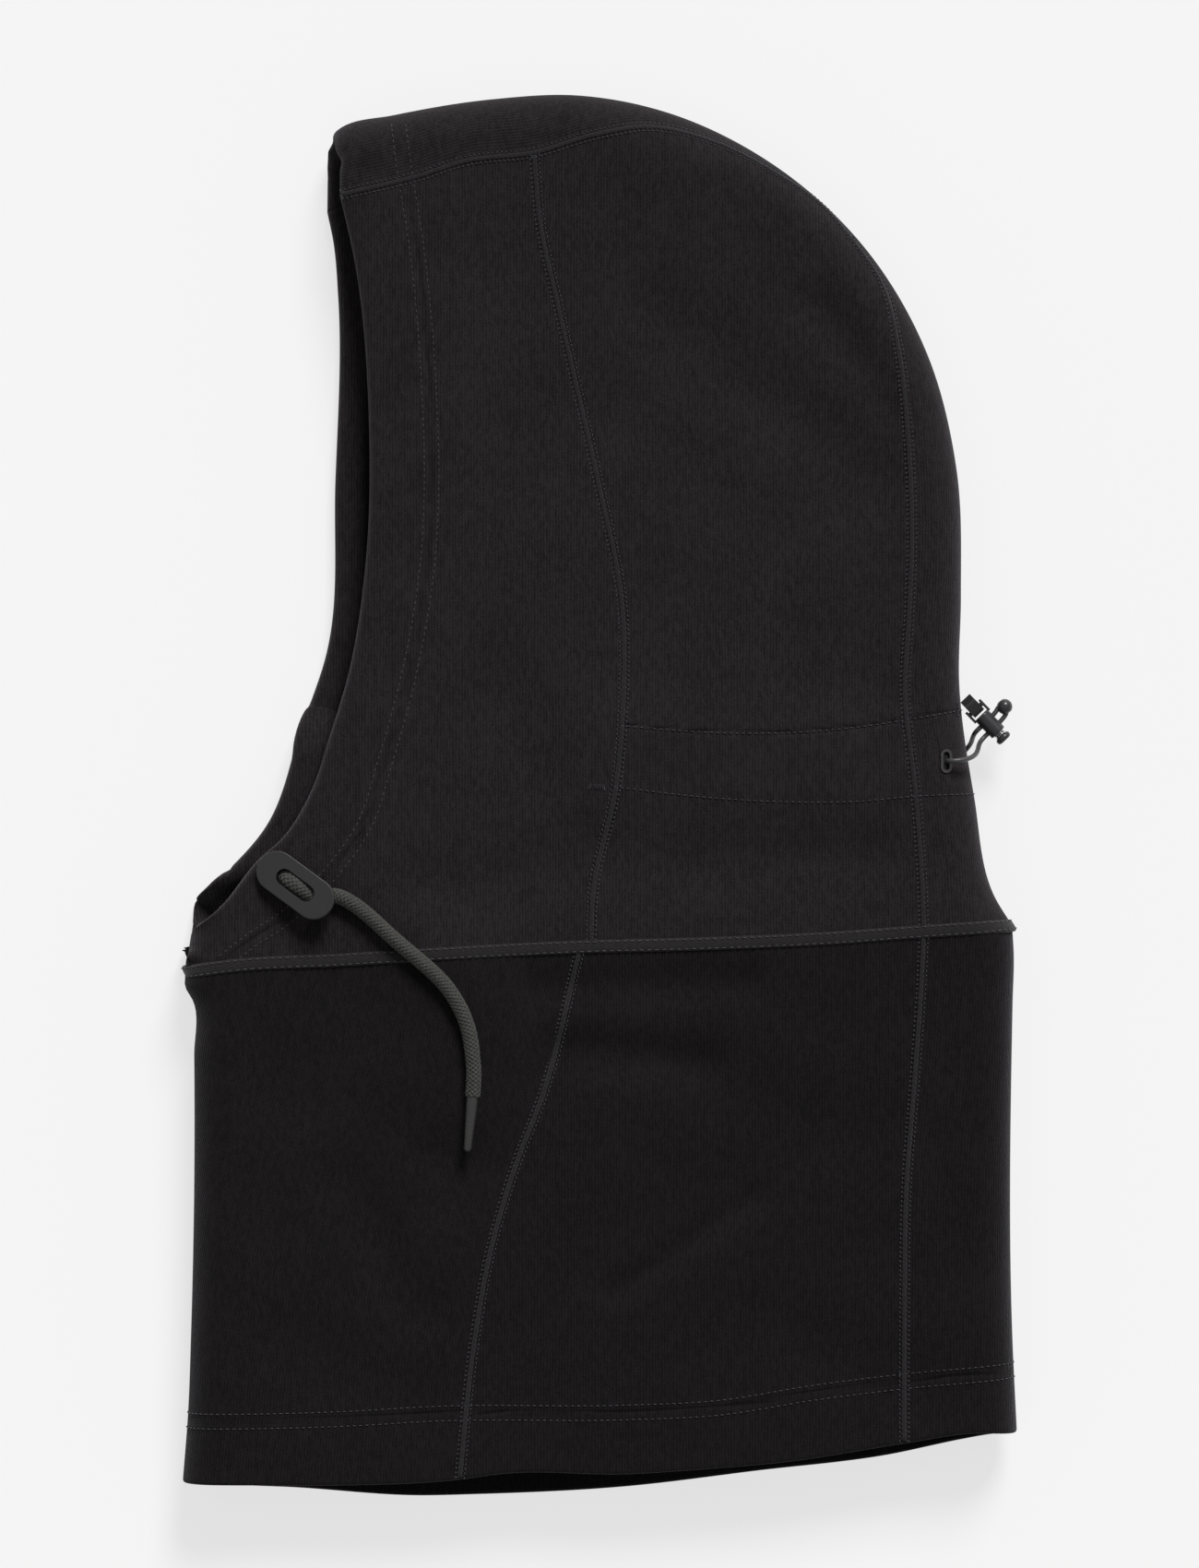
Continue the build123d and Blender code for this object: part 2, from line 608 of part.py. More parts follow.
with BuildPart() as cord_lock_plunger:
    with BuildSketch(lock_section(BUTTON_START)):
        Circle(BUTTON_R)
    extrude(amount=BUTTON_LENGTH)
    fillet(cord_lock_plunger.edges().filter_by(GeomType.CIRCLE), radius=1.0)
    with BuildSketch(lock_section(ROD_START)):
        Circle(ROD_R)
    extrude(amount=BUTTON_START + 0.5 - ROD_START)
    for hole in CORD_HOLES:
        with BuildSketch(lock_side(hole + TRAVEL / 2)):
            Rectangle(ELASTIC_D + 0.12 + TRAVEL, 2 * CORD_HOLE_R)
        extrude(amount=2 * ROD_R, both=True, mode=Mode.SUBTRACT)

SPRING_HEIGHT = BUTTON_START - SPRING_FLOOR - SPRING_WIRE - 0.04
with BuildPart() as cord_lock_spring:
    with BuildLine() as coil:
        Helix(
            pitch=SPRING_HEIGHT / SPRING_TURNS,
            height=SPRING_HEIGHT,
            radius=SPRING_R,
            center=lock_point(SPRING_FLOOR + SPRING_WIRE / 2 + 0.02, 0),
            direction=ALONG,
        )
    with BuildSketch(Plane(origin=coil.wire() @ 0, z_dir=coil.wire() % 0)):
        Circle(SPRING_WIRE / 2)
    sweep(is_frenet=True)

with BuildPart() as cord_lock_tab:
    with BuildSketch(lock_side(0)):
        with Locations((TAB_LOOP_AT, 0)):
            SlotOverall(TAB_LOOP[0] + 2 * TAB_PLY, TAB_LOOP[1] + 2 * TAB_PLY)
            SlotOverall(*TAB_LOOP, mode=Mode.SUBTRACT)
        tail_end = TAB_LOOP_AT - TAB_LOOP[0] / 2 - 0.2
        with Locations(((TAB_ROOT + tail_end) / 2, 0)):
            Rectangle(tail_end - TAB_ROOT, 2 * TAB_PLY)
    extrude(amount=TAB_WIDTH / 2, both=True)

# The elastic: hidden stretches, strands to the lock, and the loop through it and the bead
channel_mid = CLOTH + CHANNEL_GAP / 2
LEFT_CHANNEL_Z, RIGHT_CHANNEL_Z = LAY_HEIGHT - channel_mid, channel_mid
left_channel_route = [
    (9.5, 14.0, LEFT_CHANNEL_Z), (45, 11.4, LEFT_CHANNEL_Z), (80, 11.0, LEFT_CHANNEL_Z),
    (119.2, 12.7, LEFT_CHANNEL_Z),
]
right_channel_route = [
    (9.5, 13.0, RIGHT_CHANNEL_Z), (45, 11.0, RIGHT_CHANNEL_Z), (80, 11.2, RIGHT_CHANNEL_Z),
    (115.0, 13.2, RIGHT_CHANNEL_Z), (119.4, 13.6, 3.05), (122.4, 13.9, 4.9),
]
left_strand_route = [
    (120.2, 12.75, LEFT_CHANNEL_Z), (121.0, 12.8, 28.4), (123.6, 12.9, 29.4), (127.2, 13.3, 27.9),
    (130.2, 14.5, 23.8), (131.6, 16.2, 18.8), (132.3, 18.9, 14.9), lock_point(CORD_HOLES[1], -5.2),
    lock_point(CORD_HOLES[1], -3.2),
]
right_strand_route = [
    (122.8, 14.0, 4.9), (125.2, 14.2, 1.9), (127.9, 16.3, 1.9), (129.9, 19.0, 4.7),
    (130.3, 21.0, 8.6), (130.8, 22.4, 11.8), lock_point(CORD_HOLES[0], -4.9),
    lock_point(CORD_HOLES[0], -3.2),
]
BEAD_ENTRY, BEAD_EXIT = (8.0, 7.7), (4.6, 8.1)     # along and across the lock
loop_route = [
    lock_point(CORD_HOLES[1], -3.2), lock_point(CORD_HOLES[1], 4.9), lock_point(*BEAD_ENTRY),
    lock_point(*BEAD_EXIT), lock_point(CORD_HOLES[0] - 0.4, 5.2), lock_point(CORD_HOLES[0], 4.0),
    lock_point(CORD_HOLES[0], -3.2),
]
bead_middle = (Vector(*lock_point(*BEAD_ENTRY)) + Vector(*lock_point(*BEAD_EXIT))) / 2
bead_way = Vector(*lock_point(*BEAD_EXIT)) - Vector(*lock_point(*BEAD_ENTRY))
with BuildPart() as stop_bead:
    with Locations(bead_middle):
        Sphere(BEAD_R)
    with BuildSketch(Plane(origin=bead_middle, z_dir=bead_way)):
        Circle(ELASTIC_D / 2 + 0.1)
    extrude(amount=BEAD_R, both=True, mode=Mode.SUBTRACT)

pieces.update({
    "cord_lock_body": cord_lock_body.part,
    "cord_lock_plunger": cord_lock_plunger.part,
    "cord_lock_spring": cord_lock_spring.part,
    "cord_lock_tab": cord_lock_tab.part,
    "elastic_in_channel_left": cord_tube("elastic_in_channel_left", left_channel_route, ELASTIC_D),
    "elastic_in_channel_right": cord_tube("elastic_in_channel_right", right_channel_route, ELASTIC_D),
    "elastic_strand_left": cord_tube("elastic_strand_left", left_strand_route, ELASTIC_D),
    "elastic_strand_right": cord_tube("elastic_strand_right", right_strand_route, ELASTIC_D),
    "elastic_loop": cord_tube("elastic_loop", loop_route, ELASTIC_D),
    "stop_bead": stop_bead.part,
})

for name, piece in pieces.items():
    piece.label = name
    export_step(piece, f"parts/{name}.step")
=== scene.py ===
"""Looks of a hooded ski balaclava that lies folded on its right side.

Metres. +X points from the face to the back of the head, +Y to the crown and +Z up. The wearer's
left half is the upper layer. Outlines and seams are given in millimetres, in plan.
"""
from math import cos, pi, radians, sin, tau

import bmesh
import bpy
import numpy as np
from bpy.props import FloatProperty, FloatVectorProperty, IntProperty, PointerProperty
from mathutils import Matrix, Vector
from mathutils.kdtree import KDTree


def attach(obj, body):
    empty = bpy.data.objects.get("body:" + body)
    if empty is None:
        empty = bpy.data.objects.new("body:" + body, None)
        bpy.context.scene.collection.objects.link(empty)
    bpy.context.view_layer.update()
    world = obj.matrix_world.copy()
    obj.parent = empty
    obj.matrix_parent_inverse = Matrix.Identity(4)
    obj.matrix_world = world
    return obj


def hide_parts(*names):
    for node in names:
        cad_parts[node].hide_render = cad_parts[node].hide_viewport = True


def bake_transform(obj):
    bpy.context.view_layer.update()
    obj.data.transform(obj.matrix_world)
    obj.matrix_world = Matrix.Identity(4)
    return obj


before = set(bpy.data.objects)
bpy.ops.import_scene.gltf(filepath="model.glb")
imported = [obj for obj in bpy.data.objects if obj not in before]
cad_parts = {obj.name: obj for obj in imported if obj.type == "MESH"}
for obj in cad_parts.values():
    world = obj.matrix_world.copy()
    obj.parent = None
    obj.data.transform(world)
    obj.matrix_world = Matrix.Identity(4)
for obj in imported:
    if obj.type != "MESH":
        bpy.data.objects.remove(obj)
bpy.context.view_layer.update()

bl_info = {
    "name": "Ski balaclava",
    "version": (1, 0, 0),
    "blender": (4, 5, 0),
    "location": "View3D > Sidebar > Balaclava",
    "description": "Builds the cloth, cords, seams and fittings of a hooded balaclava laid flat",
    "category": "Object",
}

MM = 0.001

# How the garment lies
LAY_HEIGHT = 28 * MM
MID = LAY_HEIGHT / 2
FOLD_RADIUS = 13.5 * MM
POCKET_HEIGHT = 8 * MM

# ---------------------------------------------------------------- outlines and seams, in plan

BRIM = (-94.4, 230.2)             # where the brim crosses the fold
NECK_FRONT, NECK_BACK = (-144.3, -60.6), (143.8, -44.4)
CHIN = (-142.2, -46.4)            # where both face edges meet
SIDE_FOOT, SIDE_TOP = (-3.0, -51.5), (-22.7, 223.9)
CROWN_FRONT, CROWN_FRONT_RIGHT = (-90.3, 209.2), (-95.2, 204.6)
CROWN_CORNER, CROWN_FOOT = (88, 194), (112.6, -46.4)
DIAGONAL_TOP = (-6.6, -51.8)
DIAGONAL_FOOT, DIAGONAL_FOOT_RIGHT = (-48.6, -236.8), (-62.4, -244.2)
BACK_FOOT, BACK_FOOT_RIGHT = (105.9, -224.2), (100.6, -230.0)
HEM_FRONT, HEM_BACK = (-145.3, -238.5), (145.5, -221.1)

crown_fold = [
    BRIM, (-90, 233.6), (-71.7, 237.9), (-36.8, 243.5), (-8, 244.8), (22.4, 239.2), (59.2, 221.6),
    (93.1, 190.9), (114.5, 154), (124.4, 115), (126, 70), (125.4, 40), (130.6, 0.3), (138, -35),
    NECK_BACK,
]
front_fold = [
    NECK_FRONT, (-144.5, -65.5), (-141.6, -71), (-141.3, -90), (-142.4, -187), (-143.4, -214), HEM_FRONT,
]
back_fold = [NECK_BACK, (144.4, -54), (144, -72), (143.9, -187), HEM_BACK]
neck_seam = [
    NECK_FRONT, (-128.3, -58.4), (-90.2, -56.3), (-58.6, -54.4), DIAGONAL_TOP, (35.2, -50.7),
    (80, -48.8), CROWN_FOOT, NECK_BACK,
]
left_face_edge = [
    CHIN, (-132.5, -38.7), (-119, -21.5), (-110, -13), (-100.2, 3.5), (-94.7, 19.7), (-87.7, 43),
    (-81.5, 84.8), (-81, 140.2), (-84.8, 182.5), CROWN_FRONT,
]
right_face_edge = [
    CHIN, (-141.2, -36.5), (-134.2, -29.8), (-116.3, -9.9), (-103.7, 25.9), (-95.6, 50),
    (-92.4, 110), (-91.4, 175), (-93.2, 195), CROWN_FRONT_RIGHT,
]
side_seam = [
    SIDE_FOOT, (-2.2, -33), (5.6, 3.2), (8.3, 34), (8, 65.9), (-0.6, 110.4), (-13.8, 168.3),
    (-20.8, 201.3), SIDE_TOP,
]
crown_seam = [
    CROWN_FRONT, (-63.2, 215.6), (-46.4, 221), SIDE_TOP, (-2, 230), (18, 232.9), (38, 228.6),
    (61.4, 217.2), (77.4, 206.2), CROWN_CORNER, (98.6, 177.9), (103.5, 157), (107.2, 123.8),
    (108.4, 91.5), (107.2, 59.8), (106, 38), (109.8, 0.5), (111.9, -28.6), CROWN_FOOT,
]
diagonal_seam = [DIAGONAL_TOP, (-19.8, -103.4), (-29.6, -129), (-37.8, -157.1), (-43.6, -190), DIAGONAL_FOOT]
back_seam = [CROWN_FOOT, (111.6, -66.6), (109.1, -101.4), (106.6, -134.1), (105.9, -180), BACK_FOOT]
left_hem = [
    HEM_FRONT, (-118.4, -238.8), (-90.9, -238.8), DIAGONAL_FOOT, (-33.6, -234.8), (9.6, -234.9),
    (37.1, -233.1), (64.6, -230.7), BACK_FOOT, (129, -220.7), HEM_BACK,
]
right_hem = [
    HEM_FRONT, (-129.3, -240.3), (-107.8, -241.3), DIAGONAL_FOOT_RIGHT, (-44.2, -243.8), (9.6, -241),
    (55.5, -235.5), BACK_FOOT_RIGHT, (126.2, -224.6), HEM_BACK,
]
hem_rows_middle = [
    (-160, -216.8), (-86.7, -215.6), (-54.9, -213.8), (9.6, -213.4), (41.6, -211.8), (73.9, -206.7),
    (105.1, -202.8), (160, -197.6),
]
face_row = [
    (-70.5, 240), (-67.5, 216.3), (-65, 201.3), (-63, 187.2), (-61, 168.3), (-58.9, 135.7),
    (-58.3, 116.8), (-59.7, 81.3), (-66.3, 42.1), (-74.3, 12.8), (-82, -10.2), (-94, -27),
    (-110.4, -42.6), (-119.5, -48.5), (-130, -56.5),
]
channel_top = [(8, 25), (32.3, 23), (58.6, 22.4), (84.8, 24), (107.5, 27.2), (127, 30.7), (160, 36)]
channel_bottom = [(5.5, 3.8), (35.8, 0.3), (61.8, -1.3), (88, -1.3), (110.7, 0.6), (160, 1.6)]

# The pocket of the lower layer over the right drawcord, counted from its eyelet
RIGHT_EYE = (-115.5, -25.5)
pocket_line = [
    (13.5, 27), (9.5, 18.5), (0, 4), (10, -8), (26, -19), (46, -38), (62, -58), (70, -84), (70, -100),
]
POCKET_HALF_WIDTH, POCKET_FADE = 14 * MM, 16 * MM

# ---------------------------------------------------------------- lines and grids


def metres(points):
    return np.array(points, float) * MM


def run_of(line):
    """Distance from the start of a line to each of its points."""
    steps = np.linalg.norm(np.diff(line, axis=0), axis=1)
    return np.concatenate(([0.0], np.cumsum(steps)))


def at(line, run, places):
    """Points on a line at the given distances from its start."""
    return np.stack([np.interp(places, run, axis) for axis in line.T], 1)


def even(line, count):
    """The line with its points at even steps."""
    run = run_of(line)
    return at(line, run, np.linspace(0, run[-1], count))


def smooth(points, count=500):
    """Even steps along a smooth curve through a few points in millimetres."""
    spots = metres(points)
    run = run_of(spots)
    slope = np.gradient(spots, run, axis=0)
    places = np.linspace(0, run[-1], 4 * count)
    first = np.clip(np.searchsorted(run, places, "right") - 1, 0, len(spots) - 2)
    span = (run[first + 1] - run[first])[:, None]
    t = (places - run[first])[:, None] / span
    curve = (
        (2 * t**3 - 3 * t**2 + 1) * spots[first]
        + (t**3 - 2 * t**2 + t) * span * slope[first]
        + (3 * t**2 - 2 * t**3) * spots[first + 1]
        + (t**3 - t**2) * span * slope[first + 1]
    )
    return even(curve, count)


def stretch(points, start, end):
    """The part of a smooth curve from one of its points to another."""
    line = smooth(points, 2000)
    first, last = (np.linalg.norm(line - metres(spot), axis=1).argmin() for spot in (start, end))
    part = line[first:last + 1] if first <= last else line[last:first + 1][::-1]
    return even(np.vstack((metres(start), part[1:-1], metres(end))), 500)


def joined(*lines):
    """Lines that meet end to end, as one line of even steps."""
    return even(np.vstack([lines[0]] + [line[1:] for line in lines[1:]]), 700)


def patch(west, east, south, north, across, up, fade=1):
    """Plan grid between four border lines: its rows run from west to east, its columns up.

    The south and north borders' curves die out towards the middle faster with a higher fade.
    """
    def on(line, share):
        return at(line, np.linspace(0, 1, len(line)), share)
    u, v = across[None, :, None], up[:, None, None]
    between = (1 - u) * on(west, up)[:, None] + u * on(east, up)[:, None]
    south_bow = on(south, across)[None] - (1 - u) * south[0] - u * south[-1]
    north_bow = on(north, across)[None] - (1 - u) * north[0] - u * north[-1]
    return between + (1 - v) ** fade * south_bow + v ** fade * north_bow


def far_from(plan, line):
    """Distance of each plan point from a line of close points."""
    tree = KDTree(len(line))
    for index, spot in enumerate(line):
        tree.insert((*spot, 0), index)
    tree.balance()
    flat = plan.reshape(-1, 2)
    near = np.array([tree.find((*spot, 0))[1] for spot in flat])
    best = np.full(len(flat), np.inf)
    for step in (-1, 0):
        start = np.clip(near + step, 0, len(line) - 2)
        a, b = line[start], line[start + 1]
        along = b - a
        share = np.clip(((flat - a) * along).sum(1) / np.maximum((along**2).sum(1), 1e-18), 0, 1)
        best = np.minimum(best, np.linalg.norm(flat - a - share[:, None] * along, axis=1))
    return best.reshape(plan.shape[:-1])


def ease(share):
    """Smooth step from 0 to 1."""
    share = np.clip(share, 0, 1)
    return share * share * (3 - 2 * share)


# ---------------------------------------------------------------- how the cloth lies

inner_fold = np.vstack([metres([CHIN, NECK_FRONT]), smooth(front_fold, 250)])
outer_fold = np.vstack([smooth(crown_fold, 700), smooth(back_fold, 250)[1:]])

# Soft swells of the upper layer: both ends in millimetres, then half width and depth
SWELLS = [
    ((20, 168), (92, 112), 15, -2.0), ((0, 140), (60, 92), 17, -0.9), ((78, 172), (104, 138), 9, -2.4),
    ((-62, 60), (-18, 20), 16, -1.2), ((-70, 150), (-30, 120), 22, -0.7), ((30, 70), (96, 40), 18, -0.9),
    ((5, -172), (55, -138), 4.5, -1.5), ((20, -150), (66, -122), 10, -0.9),
    ((-88, -134), (-64, -178), 11, -2.0), ((-20, -66), (50, -64), 7, -1.7), ((-12, -88), (34, -92), 8, -2.2),
    ((-60, -140), (-20, -100), 13, -1.1), ((118, -120), (132, -170), 8, -1.2),
    ((60, -185), (110, -205), 15, -1.3), ((-120, -95), (-60, -120), 14, -1.0),
    ((40, -100), (90, -118), 12, -1.0), ((-110, -190), (-70, -205), 14, -1.2),
    ((-6, -20), (-60, -34), 12, -1.0), ((30, -24), (92, -20), 10, -0.9),
]
SWELL = 1.5                       # times the depths above
RIPPLE = 0.35 * MM                # height of the fine waves
SAG, SAG_WIDTH = 1.6 * MM, 60 * MM    # how far the upper layer sinks, and how far from a fold

# What props the upper layer, with its half width: the drawcord in its hem, the elastic in its
# channel and the tail on top
elastic_line = [(4, 14), (33, 11.7), (60, 10.5), (86, 11.4), (118, 12.9)]
tail_line = [
    (-109, -28), (-91, -33), (-79, -42), (-56, -62), (-49.5, -70), (-45.5, -79), (-43.5, -97), (-44, -104),
]
PROPS = [(smooth(face_row), 6 * MM), (smooth(elastic_line), 7 * MM), (smooth(tail_line), 3 * MM)]
PROP_FADE = 24 * MM


def swell(plan):
    """Height of the upper layer's soft waves."""
    height = np.zeros(plan.shape[:-1])
    for start, end, width, depth in SWELLS:
        a, b = metres(start), metres(end)
        along = b - a
        share = np.clip(((plan - a) @ along) / (along @ along), 0, 1)
        away = np.linalg.norm(plan - a - share[..., None] * along, axis=-1)
        height += SWELL * depth * MM * np.exp(-(away / (width * MM)) ** 2)
    x, y = plan[..., 0], plan[..., 1]
    ripple = np.sin(x * 61 + 1.3 * np.sin(y * 37)) * np.sin(y * 47 + 0.8 + 1.1 * np.sin(x * 29))
    return height + RIPPLE * (ripple - 1)


def unpropped(plan):
    """1 where nothing holds the upper layer up, down to 0 over a prop."""
    share = np.ones(plan.shape[:-1])
    for line, half_width in PROPS:
        share *= ease((far_from(plan, line) - half_width) / PROP_FADE)
    return share


def from_fold(plan):
    """Distance of plan points from the nearest fold."""
    return np.minimum(far_from(plan, outer_fold), far_from(plan, inner_fold))


def rounding(plan):
    """Distance from a fold, and a quarter circle from 0 on the fold to 1 past its radius."""
    away = from_fold(plan)
    return away, np.sqrt(1 - (1 - np.clip(away / FOLD_RADIUS, 0, 1)) ** 2)


def pocket_rise(plan):
    """Height of the lower layer over the right drawcord."""
    line = smooth([(RIGHT_EYE[0] + x, RIGHT_EYE[1] + y) for x, y in pocket_line], 120)
    away = far_from(plan, line)
    return POCKET_HEIGHT * (1 - ease((away - POCKET_HALF_WIDTH) / POCKET_FADE))


def lie(plan, upper):
    """Places of the cloth's outer face over plan points, in the upper or the lower layer."""
    away, round_share = rounding(plan)
    if upper:
        flat = ease((away - 0.6 * FOLD_RADIUS) / (2 * FOLD_RADIUS)) * unpropped(plan)
        z = MID + MID * round_share + flat * (swell(plan) - SAG * ease(away / SAG_WIDTH))
    else:
        z = MID - MID * round_share
        z = z + np.maximum(pocket_rise(plan) - z, 0) * ease(away / (0.5 * FOLD_RADIUS))
    return np.concatenate((plan, z[..., None]), -1)



# ---------------------------------------------------------------- cloth panels

FACE_HEM_DEPTH, FACE_HEM_GAP = 20 * MM, 8.8 * MM      # round the drawcord
FACE_HEM_TUNNEL, TUNNEL_FADE, STITCHED_GAP = 11 * MM, 4.5 * MM, 2.5 * MM
CHIN_FLAT, CHIN_OPENING = 17 * MM, 26 * MM            # where the tunnel starts, above the neck
BIB_HEIGHT, BIB_HEM_DEPTH = 180 * MM, 19 * MM
EDGE_STEPS = np.array([0, 0.06, 0.25, 0.55, 1.0, 1.6, 2.3, 3.2, 4.2]) * MM


def shares(length, step, edge_first=False):
    """Steps from 0 to 1 over a length, closer together by a hem's edge."""
    inside = np.linspace(EDGE_STEPS[-1], length, max(int(length / step), 4))[1:] / length
    if edge_first:
        return np.concatenate((EDGE_STEPS / length, inside))
    return np.linspace(0, 1, max(int(length / step), 5))


def to_fold(length, step):
    """Steps from a seam to a fold, closer together where the cloth turns down."""
    flat = np.linspace(0, 1 - 0.95 * FOLD_RADIUS / length, max(int(length / step), 4))
    turn = np.linspace(0, pi / 2, 15)[1:]
    edge = 1 - 0.95 * FOLD_RADIUS / length * (1 - np.sin(turn))
    return np.concatenate((flat, edge))


def hem_gap(away, gap):
    """Distance between the hem's two outer faces, by distance from its edge."""
    if gap <= STITCHED_GAP:
        return np.full(away.shape, gap)
    return STITCHED_GAP + (gap - STITCHED_GAP) * (1 - ease((away - FACE_HEM_TUNNEL) / TUNNEL_FADE))


def hemmed(surface, normal, rib, depth, gaps):
    """Grid whose west edge is turned in: the under ply, round the edge and on over the cloth."""
    rows, ribs = [], []
    back = np.concatenate((np.linspace(depth, EDGE_STEPS[-1], 9), EDGE_STEPS[::-1][1:-1]))
    for line, out, fibre, gap in zip(surface, normal, rib, gaps):
        away = run_of(line)
        nose = max(gap / 2, 0.1 * MM)
        under_line, under_out = at(line, away, back), at(out, away, back)

        def half(places):
            return hem_gap(places, gap) / 2

        def round_share(places):
            return np.sqrt(1 - (1 - np.clip(places / nose, 0, 1)) ** 2.4)
        top = line - out * (half(away) * (1 - round_share(away)))[:, None]
        under = under_line - under_out * (half(back) * (1 + round_share(back)))[:, None]
        rows.append(np.vstack((under, top)))
        ribs.append(np.concatenate((np.interp(back, away, fibre), fibre)))
    return np.array(rows), np.array(ribs)


def normals_of(grid):
    """Unit normals of a grid of points."""
    normal = np.cross(np.gradient(grid, axis=1), np.gradient(grid, axis=0))
    return normal / np.maximum(np.linalg.norm(normal, axis=-1, keepdims=True), 1e-12)


def turned_in(surface, rib, sign, depth, gap):
    """A grid with its south edge turned in."""
    turned = np.swapaxes(surface, 0, 1)
    return hemmed(turned, normals_of(turned) * sign, np.swapaxes(rib, 0, 1), depth, np.full(len(turned), gap))


def cloth(name, surface, rib, sewn, thickness, finish, slot, replaced):
    """A panel of one ply: its outer face is the grid, with an inner face and closed edges."""
    rows, columns = surface.shape[:2]
    normal = normals_of(surface)
    normal *= np.sign((normal[..., 2] * (surface[..., 2] - MID)).mean())
    inner = surface - normal * thickness
    points = np.concatenate((surface.reshape(-1, 3), inner.reshape(-1, 3)))
    index = np.arange(rows * columns).reshape(rows, columns)
    outer = [(index[i, j], index[i, j + 1], index[i + 1, j + 1], index[i + 1, j])
             for i in range(rows - 1) for j in range(columns - 1)]
    below = rows * columns
    faces = outer + [tuple(below + k for k in face[::-1]) for face in outer]
    rim = [*index[0], *index[1:, -1], *index[-1, -2::-1], *index[-2:0:-1, 0]]
    faces += [(a, a + below, b + below, b) for a, b in zip(rim, rim[1:] + rim[:1])]
    mesh = bpy.data.meshes.new(name)
    mesh.from_pydata(points.tolist(), [], [tuple(map(int, face)) for face in faces])
    mesh.attributes.new("rib", "FLOAT", "POINT").data.foreach_set("value", np.tile(rib.ravel(), 2))
    away = far_from(surface[..., :2], sewn).ravel()
    mesh.attributes.new("rows", "FLOAT", "POINT").data.foreach_set("value", np.tile(away, 2))
    piece = placed(name, mesh, finish)
    outward_faces(mesh)
    area = float(np.linalg.norm(np.cross(
        surface[1:, :-1] - surface[:-1, :-1], surface[:-1, 1:] - surface[:-1, :-1]), axis=-1).sum())
    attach(piece, "root")
    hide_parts(replaced)
    held = "folded" if name in FOLDED else "laid"


def placed(name, mesh, finish):
    """A new object at the origin that shows a mesh, shaded smooth, in one finish."""
    mesh.materials.clear()
    mesh.materials.append(finish)
    mesh.shade_smooth()
    piece = bpy.data.objects.new(name, mesh)
    bpy.context.scene.collection.objects.link(piece)
    return piece


def outward_faces(mesh):
    """Merges doubles and turns every face outwards."""
    work = bmesh.new()
    work.from_mesh(mesh)
    bmesh.ops.remove_doubles(work, verts=work.verts, dist=1e-6)
    bmesh.ops.recalc_face_normals(work, faces=work.faces)
    work.to_mesh(mesh)
    work.free()


FOLDED = ("crown_back", "bib_front", "bib_back")


def neck_part(start, end):
    return stretch(neck_seam, start, end)


def front_panel(upper, step):
    """Front of the hood: plan borders differ at the face edge of each layer."""
    edge, top = (left_face_edge, CROWN_FRONT) if upper else (right_face_edge, CROWN_FRONT_RIGHT)
    west = joined(metres([NECK_FRONT, CHIN]), smooth(edge))
    crown = [top] + crown_seam[1:]
    across, up = shares(100 * MM, step, edge_first=True), shares(330 * MM, step)
    plan = patch(west, stretch(side_seam, SIDE_FOOT, SIDE_TOP), neck_part(NECK_FRONT, SIDE_FOOT),
                 stretch(crown, top, SIDE_TOP), across, up)
    surface = lie(plan, upper)
    out = normals_of(surface) * (1 if upper else -1)
    climb = run_of(west)[-1] * up
    gaps = STITCHED_GAP + (FACE_HEM_GAP - STITCHED_GAP) * ease((climb - CHIN_FLAT) / CHIN_OPENING)
    return hemmed(surface, out, plan[..., 0], FACE_HEM_DEPTH, gaps)


def side_panel(upper, step):
    """Side of the hood, between the side seam and the crown seam."""
    across, up = shares(112 * MM, step), shares(262 * MM, step)
    plan = patch(stretch(side_seam, SIDE_FOOT, SIDE_TOP), stretch(crown_seam, CROWN_FOOT, CROWN_CORNER),
                 neck_part(SIDE_FOOT, CROWN_FOOT), stretch(crown_seam, SIDE_TOP, CROWN_CORNER), across, up)
    return lie(plan, upper), plan[..., 0]


def wrapped(seams, outline, souths, north, across, up, fade=1):
    """Grid from a seam of the upper layer round the fold to the same seam of the lower one."""
    halves = []
    for upper, seam, south in zip((True, False), seams, souths):
        plan = patch(seam, outline, south, north, across, up, fade)
        halves.append(lie(plan, upper))
    surface = np.concatenate((halves[0], halves[1][:, -2::-1]), 1)
    rib = np.array([run_of(line) for line in surface])
    return surface, rib


def crown_strip(step):
    """One strip from the neck up the back and over the crown to the brim, with the brim's hem."""
    across = to_fold(22 * MM, step)
    up = shares(500 * MM, step, edge_first=True)
    outline = joined(metres([BRIM, crown_fold[1]]), stretch(crown_fold, crown_fold[1], NECK_BACK))
    fronts = (CROWN_FRONT, CROWN_FRONT_RIGHT)
    seams = [stretch([front] + crown_seam[1:], front, CROWN_FOOT) for front in fronts]
    ends = [even(metres([front, (front[0] + 0.2, 222), BRIM]), 60) for front in fronts]
    surface, rib = wrapped(seams, outline, ends, neck_part(CROWN_FOOT, NECK_BACK), across, up, fade=9)
    return turned_in(surface, rib, 1, FACE_HEM_DEPTH, FACE_HEM_GAP)


def bib_wrapped(seam, seam_top, feet, fold, fold_foot, neck_end, width, step):
    """Front or back of the bib, from its seam round its fold to the same seam below."""
    across, up = to_fold(width, step), shares(BIB_HEIGHT, step, edge_first=True)
    seams = [stretch([foot] + seam[-2::-1], foot, seam_top) for foot in feet]
    hems = [stretch(hem, foot, fold_foot) for hem, foot in zip((left_hem, right_hem), feet)]
    return wrapped(seams, smooth(fold[::-1]), hems, neck_part(seam_top, neck_end), across, up)


